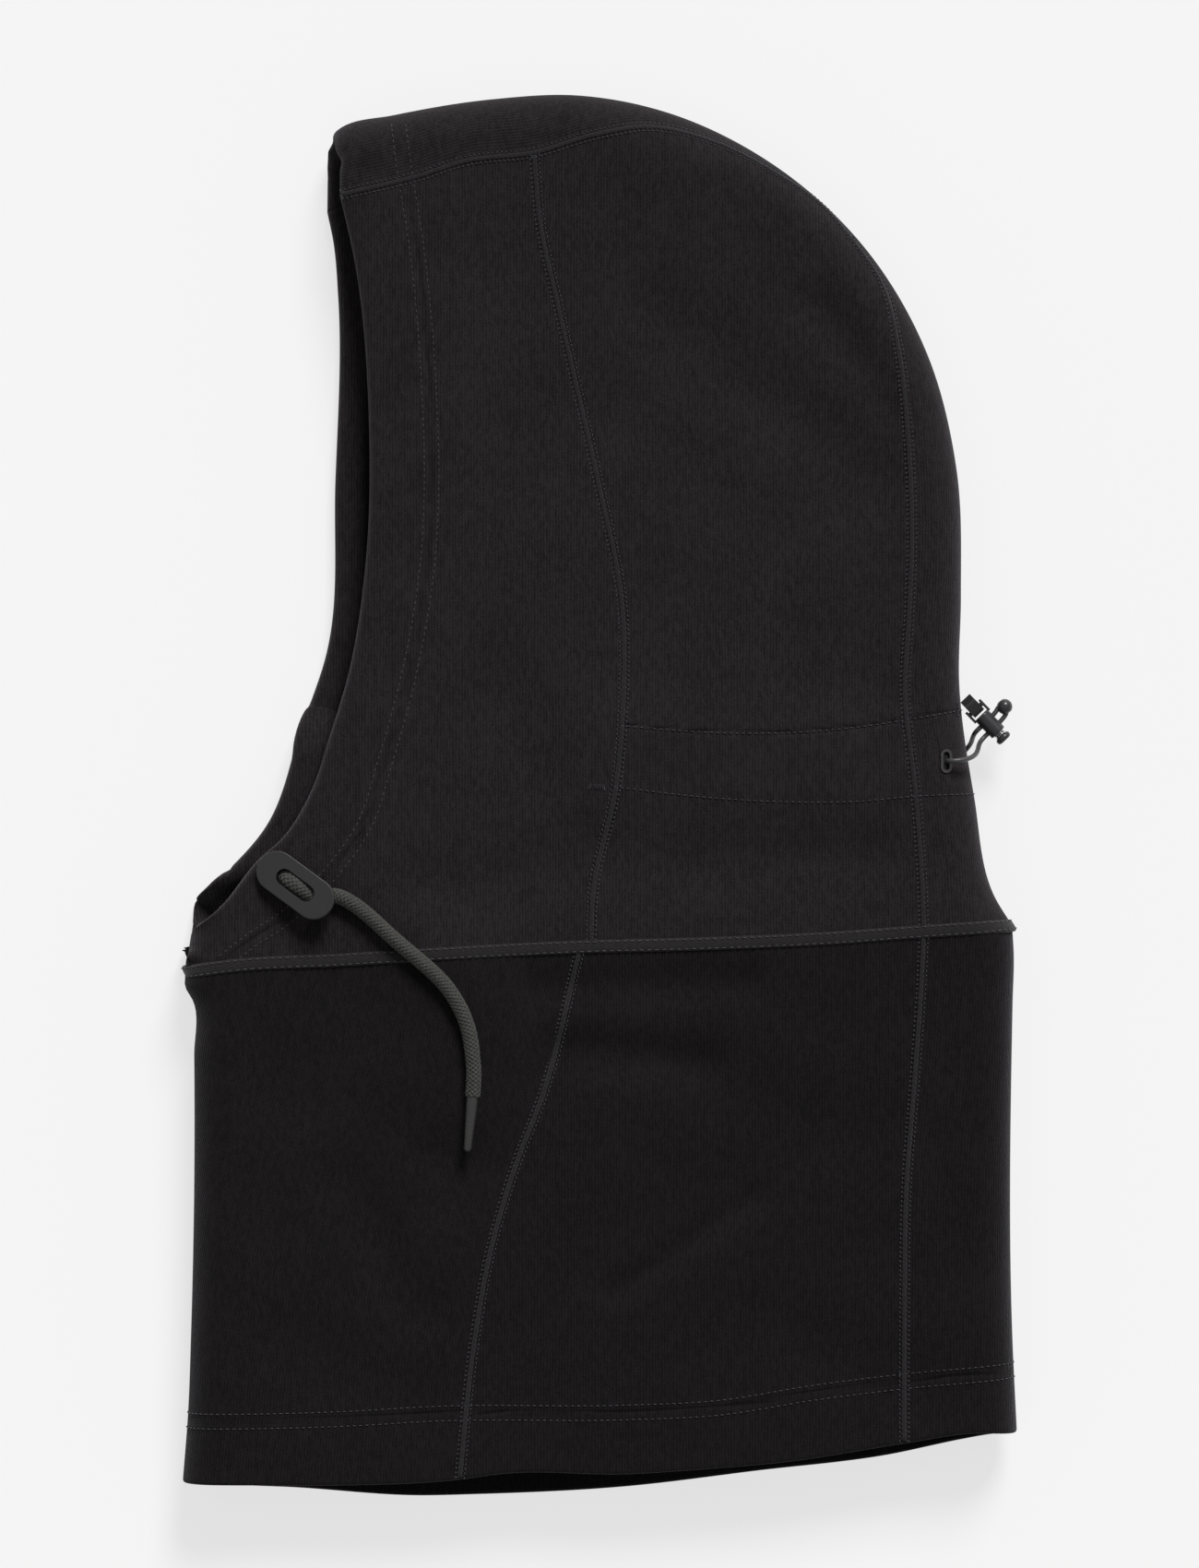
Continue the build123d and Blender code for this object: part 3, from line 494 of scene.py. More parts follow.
def bib_front(step):
    surface, rib = bib_wrapped(diagonal_seam, DIAGONAL_TOP, (DIAGONAL_FOOT, DIAGONAL_FOOT_RIGHT),
                               front_fold, HEM_FRONT, NECK_FRONT, 112 * MM, step)
    return turned_in(surface, -rib, 1, BIB_HEM_DEPTH, STITCHED_GAP)


def bib_back(step):
    surface, rib = bib_wrapped(back_seam, CROWN_FOOT, (BACK_FOOT, BACK_FOOT_RIGHT),
                               back_fold, HEM_BACK, NECK_BACK, 36 * MM, step)
    return turned_in(surface, rib, -1, BIB_HEM_DEPTH, STITCHED_GAP)


def bib_side(upper, step):
    """Side of the bib, between the diagonal seam and the back seam."""
    front, back, hem = (
        (DIAGONAL_FOOT, BACK_FOOT, left_hem) if upper else (DIAGONAL_FOOT_RIGHT, BACK_FOOT_RIGHT, right_hem)
    )
    across, up = shares(140 * MM, step), shares(BIB_HEIGHT, step, edge_first=True)
    plan = patch(stretch([front] + diagonal_seam[-2::-1], front, DIAGONAL_TOP),
                 stretch([back] + back_seam[-2::-1], back, CROWN_FOOT),
                 stretch(hem, front, back), neck_part(DIAGONAL_TOP, CROWN_FOOT), across, up)
    return turned_in(lie(plan, upper), plan[..., 0], -1 if upper else 1, BIB_HEM_DEPTH, STITCHED_GAP)


# ---------------------------------------------------------------- lines sewn on the cloth


def over(line, upper):
    """A plan line that runs from fold to fold, raised onto one layer, ends included."""
    return lie(line[None], upper)[0]


def whole_loop(line):
    """A line over the upper layer, round the back fold and back over the lower one."""
    return np.vstack((over(line, True), over(line, False)[-2::-1]))


def beside(line, offset):
    """A plan line moved sideways, to its left as it runs."""
    run = np.gradient(line, axis=0)
    run /= np.linalg.norm(run, axis=1, keepdims=True)
    return line + offset * np.stack((-run[:, 1], run[:, 0]), 1)


def frames(line):
    """Unit tangent, outward normal and sideways direction of a line on the garment."""
    run = np.gradient(line, axis=0)
    run /= np.maximum(np.linalg.norm(run, axis=1, keepdims=True), 1e-12)
    level = np.clip((line[:, 2] - MID) / MID, -1, 1)
    lean = np.sqrt(np.clip(1 - level**2, 0, 1))
    away = from_fold(line[:, :2])
    inside = line[:, :2] * (1 - 3 * MM / np.linalg.norm(line[:, :2], axis=1, keepdims=True))
    grad = np.stack([from_fold(inside + step) - from_fold(inside)
                     for step in ((0.4 * MM, 0), (0, 0.4 * MM))], 1)
    grad /= np.maximum(np.linalg.norm(grad, axis=1, keepdims=True), 1e-9)
    lean = np.where(away < FOLD_RADIUS, lean, 0)[:, None]
    up = np.where(np.abs(level) < 1e-3, 0, np.sign(level))[:, None] * np.sqrt(1 - lean**2)
    normal = np.concatenate((-grad * lean, up), 1)
    normal -= run * (normal * run).sum(1, keepdims=True)
    normal /= np.maximum(np.linalg.norm(normal, axis=1, keepdims=True), 1e-9)
    return run, normal, np.cross(normal, run)


def spaced(line, step):
    """A line with points about one step apart."""
    return even(line, max(int(run_of(line)[-1] / step), 3))


def tube_mesh(name, lines, radius, sides=6, flat=1.0):
    """Closed round tubes along lines of points, as one mesh."""
    points, faces = [], []
    for line in lines:
        _, normal, side = twistless(line)
        turn = np.arange(sides) * tau / sides
        ring = (np.cos(turn)[None, :, None] * side[:, None] * radius
                + np.sin(turn)[None, :, None] * normal[:, None] * radius * flat) + line[:, None]
        first, count = len(points), len(line)
        points += ring.reshape(-1, 3).tolist()
        for i in range(count - 1):
            for j in range(sides):
                a, b = first + i * sides + j, first + i * sides + (j + 1) % sides
                faces.append((a, b, b + sides, a + sides))
        faces.append(tuple(first + j for j in range(sides))[::-1])
        faces.append(tuple(first + (count - 1) * sides + j for j in range(sides)))
    mesh = bpy.data.meshes.new(name)
    mesh.from_pydata(points, [], faces)
    outward_faces(mesh)
    return mesh


def twistless(line):
    """Tangent and two across directions that don't twist along a line."""
    run = np.gradient(line, axis=0)
    run /= np.maximum(np.linalg.norm(run, axis=1, keepdims=True), 1e-12)
    start = np.array((0.0, 0.0, 1.0))
    if abs(run[0] @ start) > 0.9:
        start = np.array((1.0, 0.0, 0.0))
    normals = [start - run[0] * (run[0] @ start)]
    for way in run[1:]:
        onward = normals[-1] - way * (normals[-1] @ way)
        normals.append(onward / np.linalg.norm(onward))
    normals[0] /= np.linalg.norm(normals[0])
    normal = np.array(normals)
    return run, normal, np.cross(normal, run)


def band_mesh(name, lines, half_width, height, sink):
    """Rounded flat bands along lines on the cloth, half sunk into it."""
    profile = [(-1, -1), (-1, 0.25), (-0.8, 0.8), (-0.35, 1), (0.35, 1), (0.8, 0.8), (1, 0.25), (1, -1)]
    points, faces, sides = [], [], len(profile)
    for line in lines:
        _, normal, side = frames(line)
        first = len(points)
        for spot, out, across in zip(line, normal, side):
            for east, rise in profile:
                lift = rise * height if rise > 0 else rise * sink
                points.append((spot + across * east * half_width + out * lift).tolist())
        for i in range(len(line) - 1):
            for j in range(sides):
                a, b = first + i * sides + j, first + i * sides + (j + 1) % sides
                faces.append((a, b, b + sides, a + sides))
        faces.append(tuple(range(first, first + sides)))
        faces.append(tuple(range(first + (len(line) - 1) * sides, first + len(line) * sides)))
    mesh = bpy.data.meshes.new(name)
    mesh.from_pydata(points, [], faces)
    outward_faces(mesh)
    return mesh


def row_lines(name, lines):
    """Lines of points as a mesh of edges, for the stitch tree to follow."""
    points, edges = [], []
    for line in lines:
        first = len(points)
        points += line.tolist()
        edges += [(first + i, first + i + 1) for i in range(len(line) - 1)]
    mesh = bpy.data.meshes.new(name)
    mesh.from_pydata(points, edges, [])
    return mesh


class Tree:
    """A Geometry Nodes tree with named inputs."""

    def __init__(self, name, sizes):
        self.tree = bpy.data.node_groups.new(name, "GeometryNodeTree")
        self.tree.interface.new_socket("Geometry", in_out="INPUT", socket_type="NodeSocketGeometry")
        self.sockets = {}
        for label, kind in sizes.items():
            self.sockets[label] = self.tree.interface.new_socket(label, in_out="INPUT", socket_type=kind)
        self.tree.interface.new_socket("Geometry", in_out="OUTPUT", socket_type="NodeSocketGeometry")
        self.entry = self.tree.nodes.new("NodeGroupInput")
        self.exit = self.tree.nodes.new("NodeGroupOutput")

    def node(self, kind, settings=None, inputs=None, output=0):
        made = self.tree.nodes.new(kind)
        for key, value in (settings or {}).items():
            setattr(made, key, value)
        for key, value in (inputs or {}).items():
            if isinstance(value, bpy.types.NodeSocket):
                self.tree.links.new(value, made.inputs[key])
            else:
                made.inputs[key].default_value = value
        return made.outputs[output]

    def grown(self, name, mesh, values):
        """The plain mesh that the tree makes on a mesh, with the given inputs."""
        carrier = bpy.data.objects.new(name + "_rows", mesh)
        bpy.context.scene.collection.objects.link(carrier)
        modifier = carrier.modifiers.new("Rows", "NODES")
        modifier.node_group = self.tree
        for label, value in values.items():
            modifier[self.sockets[label].identifier] = value
        bpy.context.view_layer.update()
        evaluated = carrier.evaluated_get(bpy.context.evaluated_depsgraph_get())
        result = bpy.data.meshes.new_from_object(evaluated)
        carrier.modifiers.remove(modifier)
        bpy.data.objects.remove(carrier)
        result.name = name
        return result


def stitch_tree():
    """Even stitches along lines: each is a short rounded length of thread."""
    tree = Tree("Stitch rows", {
        "Pitch": "NodeSocketFloat", "Length": "NodeSocketFloat", "Thread": "NodeSocketFloat",
        "Seed": "NodeSocketInt", "Finish": "NodeSocketMaterial",
    })
    into = tree.entry.outputs
    lines = tree.node("GeometryNodeMeshToCurve", {}, {"Mesh": into["Geometry"]})
    spaced_line = tree.node("GeometryNodeResampleCurve", {"mode": "LENGTH"},
                            {"Curve": lines, "Length": into["Pitch"]})
    ball = tree.node("GeometryNodeMeshUVSphere", {}, {"Segments": 6, "Rings": 5, "Radius": 0.5})
    size = tree.node("ShaderNodeCombineXYZ", {},
                     {"X": into["Length"], "Y": into["Thread"], "Z": into["Thread"]})
    stitch = tree.node("GeometryNodeTransform", {}, {"Geometry": ball, "Scale": size})
    way = tree.node("GeometryNodeInputTangent")
    jitter = tree.node("FunctionNodeRandomValue", {"data_type": "FLOAT_VECTOR"},
                       {"Min": (-0.09, -0.09, -0.09), "Max": (0.09, 0.09, 0.09), "Seed": into["Seed"]})
    wander = tree.node("ShaderNodeVectorMath", {"operation": "ADD"}, {0: way, 1: jitter})
    turn = tree.node("FunctionNodeAlignRotationToVector", {"axis": "X"}, {"Vector": wander})
    placed_stitches = tree.node("GeometryNodeInstanceOnPoints", {},
                                {"Points": spaced_line, "Instance": stitch, "Rotation": turn})
    real = tree.node("GeometryNodeRealizeInstances", {}, {"Geometry": placed_stitches})
    done = tree.node("GeometryNodeSetMaterial", {}, {"Geometry": real, "Material": into["Finish"]})
    tree.tree.links.new(done, tree.exit.inputs[0])
    return tree


def thread_tree():
    """Round thread along lines, such as the cover thread that zigzags over a flat seam."""
    tree = Tree("Cover thread", {"Thread": "NodeSocketFloat", "Finish": "NodeSocketMaterial"})
    into = tree.entry.outputs
    lines = tree.node("GeometryNodeMeshToCurve", {}, {"Mesh": into["Geometry"]})
    round_wire = tree.node("GeometryNodeCurvePrimitiveCircle", {},
                           {"Resolution": 5, "Radius": into["Thread"]})
    wire = tree.node("GeometryNodeCurveToMesh", {},
                     {"Curve": lines, "Profile Curve": round_wire, "Fill Caps": True})
    real = tree.node("GeometryNodeRealizeInstances", {}, {"Geometry": wire})
    done = tree.node("GeometryNodeSetMaterial", {}, {"Geometry": real, "Material": into["Finish"]})
    tree.tree.links.new(done, tree.exit.inputs[0])
    return tree


def zigzag(line, pitch, half_width, rise):
    """A thread that crosses a line from side to side, once each half pitch."""
    line = spaced(line, pitch / 2)
    _, normal, side = frames(line)
    sign = np.where(np.arange(len(line)) % 2, 1, -1)[:, None]
    return line + side * sign * half_width + normal * rise


def trimmed(line, start, end):
    """A line without its first and last stretches."""
    run = run_of(line)
    return at(line, run, np.linspace(start, run[-1] - end, len(line)))


def lifted(line, offset, rise=0.0):
    """A line on the cloth, moved sideways along the surface and out of it."""
    _, normal, side = frames(line)
    return line + side * offset + normal * rise


# ---------------------------------------------------------------- cords

CORD_D, ELASTIC_D = 5.2 * MM, 1.7 * MM
PLATE_TURN, PIVOT_TO_PLATE = radians(-36), 5.0
LEFT_EYE = (-109.1, -27.5)
TOP_TUNNEL_Z, POCKET_TUNNEL_Z, EXIT_RISE = 23.45, 12.55, 2.95
TOP = 28.0
LOCK_AT, LOCK_TURN = (131.2, 30.8, 13.0), radians(-46)


def on_plate(eye, along, height):
    """Point on a plate's long axis, in millimetres."""
    reach = along + PIVOT_TO_PLATE
    return (eye[0] + reach * cos(PLATE_TURN), eye[1] + reach * sin(PLATE_TURN), height)


def on_lock(along, across):
    """Point beside the cord lock's long axis, in millimetres."""
    return (
        LOCK_AT[0] + along * cos(LOCK_TURN) - across * sin(LOCK_TURN),
        LOCK_AT[1] + along * sin(LOCK_TURN) + across * cos(LOCK_TURN),
        LOCK_AT[2],
    )


# Where the tail lies past its plate: x and y from its eyelet
tail_lie = [
    (17.6, -5.7), (24.6, -9.6), (30.4, -14.4), (37.6, -21.3), (53.3, -34.3), (59.5, -42.5),
    (63.6, -51.5), (65.1, -61.0), (65.7, -69.5), (65.1, -75.9),
]
left_rise = [2.8, 2.8, 2.8, 2.8, 2.8, 2.8, 2.8, 2.85, 2.85, 2.67]
right_rise = [5.0, 3.6, 2.8, 2.8, 2.8, 2.8, 2.8, 2.85, 2.85, 2.67]
left_tail = [
    (*LEFT_EYE, TOP_TUNNEL_Z + EXIT_RISE), on_plate(LEFT_EYE, -5.0, TOP + 1.4),
    on_plate(LEFT_EYE, -2.3, TOP + 4.1), on_plate(LEFT_EYE, 2.4, TOP + 4.3),
    on_plate(LEFT_EYE, 7.5, TOP + 2.85),
]
right_tail = [
    (*RIGHT_EYE, POCKET_TUNNEL_Z - EXIT_RISE), on_plate(RIGHT_EYE, -5.0, 6.5),
    on_plate(RIGHT_EYE, -1.9, 3.4), on_plate(RIGHT_EYE, 2.8, 2.85), on_plate(RIGHT_EYE, 8.6, 5.25),
]
left_tail += [(LEFT_EYE[0] + x, LEFT_EYE[1] + y, TOP + z) for (x, y), z in zip(tail_lie, left_rise)]
right_tail += [(RIGHT_EYE[0] + x, RIGHT_EYE[1] + y, z) for (x, y), z in zip(tail_lie, right_rise)]

# The elastic: out of the left eyelet, through the lock and the bead, back and into the right one
elastic_route = [
    (120.2, 12.75, 25.3), (121.0, 12.8, 28.4), (123.6, 12.9, 29.4), (127.2, 13.3, 27.9),
    (130.2, 14.5, 23.8), (131.6, 16.2, 18.8), (132.3, 18.9, 14.9), on_lock(9.0, -5.2),
    on_lock(9.0, -3.2), on_lock(9.0, 4.9), on_lock(8.0, 7.7), on_lock(4.6, 8.1), on_lock(5.2, 5.2),
    on_lock(5.6, 4.0), on_lock(5.6, -3.2), on_lock(5.6, -4.9), (130.8, 22.4, 11.8),
    (130.3, 21.0, 8.6), (129.9, 19.0, 4.7), (127.9, 16.3, 1.9), (125.2, 14.2, 1.9), (122.8, 14.0, 4.9),
]


def nurbs_line(name, route, resolution=10):
    """Points of the smooth line that a cord's route gives."""
    data = bpy.data.curves.new(name, "CURVE")
    data.dimensions, data.resolution_u = "3D", resolution
    spline = data.splines.new("NURBS")
    spline.points.add(len(route) - 1)
    for point, spot in zip(spline.points, route):
        point.co = (*[value * MM for value in spot], 1)
    spline.order_u = 3
    spline.use_endpoint_u = True
    carrier = bpy.data.objects.new(name, data)
    bpy.context.scene.collection.objects.link(carrier)
    bpy.context.view_layer.update()
    mesh = bpy.data.meshes.new_from_object(carrier.evaluated_get(bpy.context.evaluated_depsgraph_get()))
    line = np.array([vertex.co for vertex in mesh.vertices], float)
    bpy.data.objects.remove(carrier)
    bpy.data.meshes.remove(mesh)
    return line


def braid_mesh(name, line, radius, carriers, lay):
    """Braided cord: strands that cross over and under each other round a core."""
    strand, wave = 0.24 * radius, 0.1 * radius
    middle = radius - 0.8 * (strand + wave)
    line = spaced(line, lay / 48)
    _, normal, side = twistless(line)
    turn = run_of(line) / lay * tau
    strands = []
    for way in (1, -1):
        for carrier in range(carriers):
            angle = way * turn + carrier * tau / carriers
            over = way * np.cos(carriers * turn)
            reach = (middle + wave * over)[:, None]
            strands.append(line + (np.cos(angle)[:, None] * side + np.sin(angle)[:, None] * normal) * reach)
    mesh = tube_mesh(name, strands, strand, 5)
    core = tube_mesh(name + "_core", [spaced(line, 1.2 * MM)], middle - 0.7 * strand, 12)
    work = bmesh.new()
    work.from_mesh(mesh)
    work.from_mesh(core)
    work.to_mesh(mesh)
    work.free()
    bpy.data.meshes.remove(core)
    return mesh


# ---------------------------------------------------------------- finishes


class Field:
    """A value over a surface: a node's output that takes Python's operators."""

    def __init__(self, finish, socket):
        self.finish, self.socket = finish, socket

    def math(self, operation, first, second=None):
        inputs = {0: first} if second is None else {0: first, 1: second}
        return self.finish.node("ShaderNodeMath", {"operation": operation}, inputs)

    def __add__(self, other):
        return self.math("ADD", self, other)

    __radd__ = __add__

    def __sub__(self, other):
        return self.math("SUBTRACT", self, other)

    def __rsub__(self, other):
        return self.math("SUBTRACT", other, self)

    def __mul__(self, other):
        return self.math("MULTIPLY", self, other)

    __rmul__ = __mul__

    def __truediv__(self, other):
        return self.math("DIVIDE", self, other)

    def __pow__(self, other):
        return self.math("POWER", self, other)

    def wave(self, length):
        """Sine of the field, once for each length."""
        return self.math("SINE", self * (tau / length))

    def near(self, place, width):
        """1 at a place and 0 a few widths from it."""
        away = (self - place) / width
        return self.math("EXPONENT", 0 - away * away)


class Finish:
    """A material of nodes, whose shader takes plain numbers or fields."""

    def __init__(self, name, constants):
        self.material = bpy.data.materials.new(name)
        self.material.use_nodes = True
        self.tree = self.material.node_tree
        self.shader = self.tree.nodes["Principled BSDF"]
        self.put(constants)

    def put(self, values):
        for key, value in values.items():
            self.fill(self.shader.inputs[key], value)

    def fill(self, socket, value):
        if isinstance(value, Field):
            self.tree.links.new(value.socket, socket)
        else:
            socket.default_value = value

    def node(self, kind, settings=None, inputs=None, output=0):
        made = self.tree.nodes.new(kind)
        for key, value in (settings or {}).items():
            setattr(made, key, value)
        for key, value in (inputs or {}).items():
            self.fill(made.inputs[key], value)
        return Field(self, made.outputs[output])

    def place(self):
        return self.node("ShaderNodeTexCoord", output="Object")

    def axis(self, name):
        return self.node("ShaderNodeSeparateXYZ", {}, {0: self.place()}, name)

    def attribute(self, name):
        return self.node("ShaderNodeAttribute", {"attribute_name": name}, output="Fac")

    def noise(self, size, detail=2.0, stretch=(1, 1, 1)):
        """Noise about one size in metres between its hills, from 0 to 1."""
        scaled = self.node("ShaderNodeVectorMath", {"operation": "MULTIPLY"}, {0: self.place(), 1: stretch})
        return self.node("ShaderNodeTexNoise", {}, {"Vector": scaled, "Scale": 1 / size, "Detail": detail})

    def mix(self, share, dark, light):
        return self.node("ShaderNodeMix", {"data_type": "RGBA", "clamp_factor": True},
                         {0: share, 6: (*dark, 1), 7: (*light, 1)}, 2)

    def bump(self, height, strength=1.0):
        self.put({"Normal": self.node("ShaderNodeBump", {}, {"Strength": strength, "Distance": 1.0,
                                                              "Height": height})})


def fleece(name, colour):
    """Ribbed technical fleece: fine ribs, a soft nap, and furrows under the rows of stitches, with painted
    shade darkening the colour along those furrows.
    """
    finish = Finish(name, {"Roughness": 0.92, "Specular IOR Level": 0.12, "Sheen Weight": 0.12,
                           "Sheen Roughness": 0.45, "Sheen Tint": (0.75, 0.72, 0.78, 1)})
    rib = finish.attribute("rib") + finish.noise(9 * MM, 1) * (0.5 * MM)
    nap = finish.noise(0.55 * MM, 3)
    soft = finish.noise(26 * MM, 3)
    fleck = finish.noise(1.3 * MM, 2, (1, 0.35, 1))
    ribs = rib.wave(1.05 * MM)
    rows = finish.attribute("rows")
    # Mask along the stitch rows: a real dip in the bump below, and painted shade in the base colour.
    furrow_and_painted_shade = rows.near(0, 0.9 * MM)
    # The minus furrow term darkens the colour along the stitch rows: painted shade in the furrows.
    share = 0.5 + ribs * 0.3 + (nap - 0.5) * 2.2 + (soft - 0.5) * 0.6 + (fleck - 0.5) * 1.7 - furrow_and_painted_shade * 0.2
    dark = [value * 0.55 for value in colour]
    light = [value * 1.45 for value in colour]
    finish.put({"Base Color": finish.mix(share, dark, light)})
    height = ribs * (0.045 * MM) + nap * (0.2 * MM) + fleck * (0.16 * MM) - furrow_and_painted_shade * (0.7 * MM)
    finish.bump(height, 0.9)
    return finish.material


def thread_finish():
    """Sewing thread, a little lighter and bluer than the cloth."""
    finish = Finish("seam_thread", {"Roughness": 0.62, "Specular IOR Level": 0.35, "Sheen Weight": 0.2})
    share = finish.noise(0.8 * MM, 2) * 1.4 - 0.2
    finish.put({"Base Color": finish.mix(share, (0.022, 0.0205, 0.027), (0.050, 0.047, 0.060))})
    finish.bump(finish.noise(0.25 * MM, 1) * (0.08 * MM), 0.6)
    return finish.material


def seam_cloth():
    """Cloth rolled up in a seam, with a fuzzy cut edge."""
    finish = Finish("seam_cloth", {"Roughness": 0.9, "Specular IOR Level": 0.15, "Sheen Weight": 0.25})
    fuzz = finish.noise(0.7 * MM, 3)
    dark, light = (0.0075, 0.0066, 0.0070), (0.0235, 0.0208, 0.0222)
    finish.put({"Base Color": finish.mix(fuzz * 1.5 - 0.25, dark, light)})
    finish.bump(fuzz * (0.35 * MM), 0.8)
    return finish.material


def braid_finish():
    """Matt cord yarn with a faint olive cast."""
    finish = Finish("cord_yarn", {"Roughness": 0.7, "Specular IOR Level": 0.3, "Sheen Weight": 0.15})
    share = finish.noise(0.5 * MM, 2) * 1.3 - 0.15
    finish.put({"Base Color": finish.mix(share, (0.016, 0.016, 0.0145), (0.074, 0.075, 0.066))})
    finish.bump(finish.noise(0.22 * MM, 2) * (0.07 * MM), 0.7)
    return finish.material


def elastic_finish():
    """Covered elastic: a fine close braid, rather smooth."""
    finish = Finish("elastic_cover", {"Roughness": 0.42, "Specular IOR Level": 0.55})
    share = finish.noise(0.3 * MM, 2)
    finish.put({"Base Color": finish.mix(share, (0.028, 0.028, 0.029), (0.070, 0.070, 0.071))})
    finish.bump(share * (0.06 * MM), 0.6)
    return finish.material


def moulding(name, roughness, colour, grain):
    """Moulded plastic: fine grain, slight changes of gloss where it has been rubbed, and a painted highlight
    on its convex edges with painted shade in its hollows.
    """
    finish = Finish(name, {"Specular IOR Level": 0.5, "Coat Roughness": 0.3})
    worn = finish.noise(4 * MM, 4)
    fine = finish.noise(grain, 2)
    edge = finish.node("ShaderNodeNewGeometry", output="Pointiness")
    # Pointiness lightens the colour on convex edges and darkens it in hollows: a painted highlight and
    # painted shade.
    edge_highlight_and_hollow_shade = (edge - 0.5) * 1.5
    light = [value * 1.8 for value in colour]
    finish.put({
        "Base Color": finish.mix(worn * 0.5 + fine * 0.3 + edge_highlight_and_hollow_shade, colour, light),
        "Roughness": roughness - 0.1 * (worn - 0.5) * 2 + 0.06 * fine,
    })
    finish.bump(fine * (0.012 * MM) + worn * (0.03 * MM), 0.5)
    return finish.material


def grosgrain():
    """Ribbed ribbon: cross ribs with yarn between them."""
    finish = Finish("ribbon", {"Roughness": 0.8, "Specular IOR Level": 0.2, "Sheen Weight": 0.2})
    ribs = (finish.axis("X") * cos(LOCK_TURN) + finish.axis("Y") * sin(LOCK_TURN)).wave(0.55 * MM)
    share = 0.5 + ribs * 0.4 + (finish.noise(0.3 * MM, 2) - 0.5) * 0.8
    finish.put({"Base Color": finish.mix(share, (0.008, 0.008, 0.009), (0.034, 0.033, 0.035))})
    finish.bump(ribs * (0.07 * MM), 0.8)
    return finish.material


def metal(name, roughness, colour, metallic=1.0):
    """Lacquered or bare metal with light scuffs."""
    finish = Finish(name, {"Metallic": metallic, "Specular IOR Level": 0.5})
    scuff = finish.noise(0.8 * MM, 4)
    light = [min(value * 1.5, 1) for value in colour]
    finish.put({"Base Color": finish.mix(scuff, colour, light), "Roughness": roughness + 0.2 * (scuff - 0.5)})
    finish.bump(scuff * (0.01 * MM), 0.4)
    return finish.material


# ---------------------------------------------------------------- what a user may change


def length(name, description, default):
    return FloatProperty(name=name, description=description, default=default, unit="LENGTH")


def colour(name, description, default):
    return FloatVectorProperty(name=name, description=description, default=default, size=3, subtype="COLOR")


class ClothSizes(bpy.types.PropertyGroup):
    """Sizes and colours of the fleece."""

    thickness: length("Thickness", "Thickness of one ply", 1.1 * MM)
    step: length("Mesh step", "Size of the cloth's faces", 2.1 * MM)
    hood: colour("Hood", "Colour of the hood's fleece", (0.0152, 0.0130, 0.0138))
    bib: colour("Bib", "Colour of the bib's fleece", (0.0078, 0.0066, 0.0072))


class CordSizes(bpy.types.PropertyGroup):
    """Sizes of the drawcord's braid."""

    carriers: IntProperty(name="Carriers", description="Strands that turn each way", default=7, min=4)
    lay: length("Lay", "Length of one turn of a strand", 10.4 * MM)


class StitchSizes(bpy.types.PropertyGroup):
    """Sizes of the sewing."""

    hem_pitch: length("Hem pitch", "Stitch length of the hems", 2.2 * MM)
    neck_pitch: length("Neck pitch", "Stitch length of the neck seam", 2.6 * MM)
    flat_pitch: length("Flat seam pitch", "Stitch length of the flat seams", 1.6 * MM)
    thread: length("Thread", "Thickness of the thread", 0.42 * MM)


class StudioSizes(bpy.types.PropertyGroup):
    """Camera and light."""

    height: length("Camera height", "Height of the camera over the cloth", 3.0)
    view: length("View", "Length of the view at the cloth", 0.544)
    sun: FloatProperty(name="Key light", description="Strength of the soft key light", default=3.0)
    ambient: FloatProperty(name="Ambient", description="Strength of the light from all round", default=0.30)


GROUPS = {"balaclava_cloth": ClothSizes, "balaclava_cord": CordSizes,
          "balaclava_stitch": StitchSizes, "balaclava_studio": StudioSizes}
finishes = {}


def finish_of(name, make, *values):
    """A finish that is made once and then shared."""
    if name not in finishes:
        finishes[name] = make(*values)
    return finishes[name]


def hood_fleece():
    return finish_of("hood", fleece, "hood_fleece", tuple(bpy.context.scene.balaclava_cloth.hood))


def bib_fleece():
    return finish_of("bib", fleece, "bib_fleece", tuple(bpy.context.scene.balaclava_cloth.bib))


class MakeStage(bpy.types.Operator):
    """Pale floor, soft light and the camera over the garment"""

    bl_idname = "balaclava.stage"
    bl_label = "Stage"

    def execute(self, context):
        sizes, scene = context.scene.balaclava_studio, context.scene
        scene.view_settings.view_transform = "Standard"
        camera = bpy.data.cameras.new("camera")
        camera.sensor_width = 36
        camera.lens = camera.sensor_width * sizes.height / sizes.view
        camera.clip_end = 100
        eye = bpy.data.objects.new("camera", camera)
        eye.location = (0, 4.8 * MM, sizes.height + LAY_HEIGHT)
        scene.collection.objects.link(eye)
        scene.camera = eye
        light = bpy.data.lights.new("key_light", "SUN")
        light.energy, light.angle = sizes.sun, radians(22)
        key = bpy.data.objects.new("key_light", light)
        key.rotation_euler = Vector((0.24, 0.80, 0.64)).to_track_quat("Z", "Y").to_euler()
        scene.collection.objects.link(key)
        world = bpy.data.worlds.new("studio")
        world.use_nodes = True
        background = world.node_tree.nodes["Background"]
        background.inputs["Color"].default_value = (1, 1, 1, 1)
        background.inputs["Strength"].default_value = sizes.ambient
        scene.world = world
        mesh = bpy.data.meshes.new("floor")
        half = 4.0
        mesh.from_pydata([(-half, -half, 0), (half, -half, 0), (half, half, 0), (-half, half, 0)],
                         [], [(0, 1, 2, 3)])
        finish = Finish("floor", {"Roughness": 0.9, "Specular IOR Level": 0.0})
        pale = finish.noise(0.4, 1)
        finish.put({"Base Color": finish.mix(pale, (0.235, 0.235, 0.235), (0.245, 0.245, 0.245)),
                    "Emission Color": (1, 1, 1, 1), "Emission Strength": 0.70})
        placed("floor", mesh, finish.material)
        return {"FINISHED"}


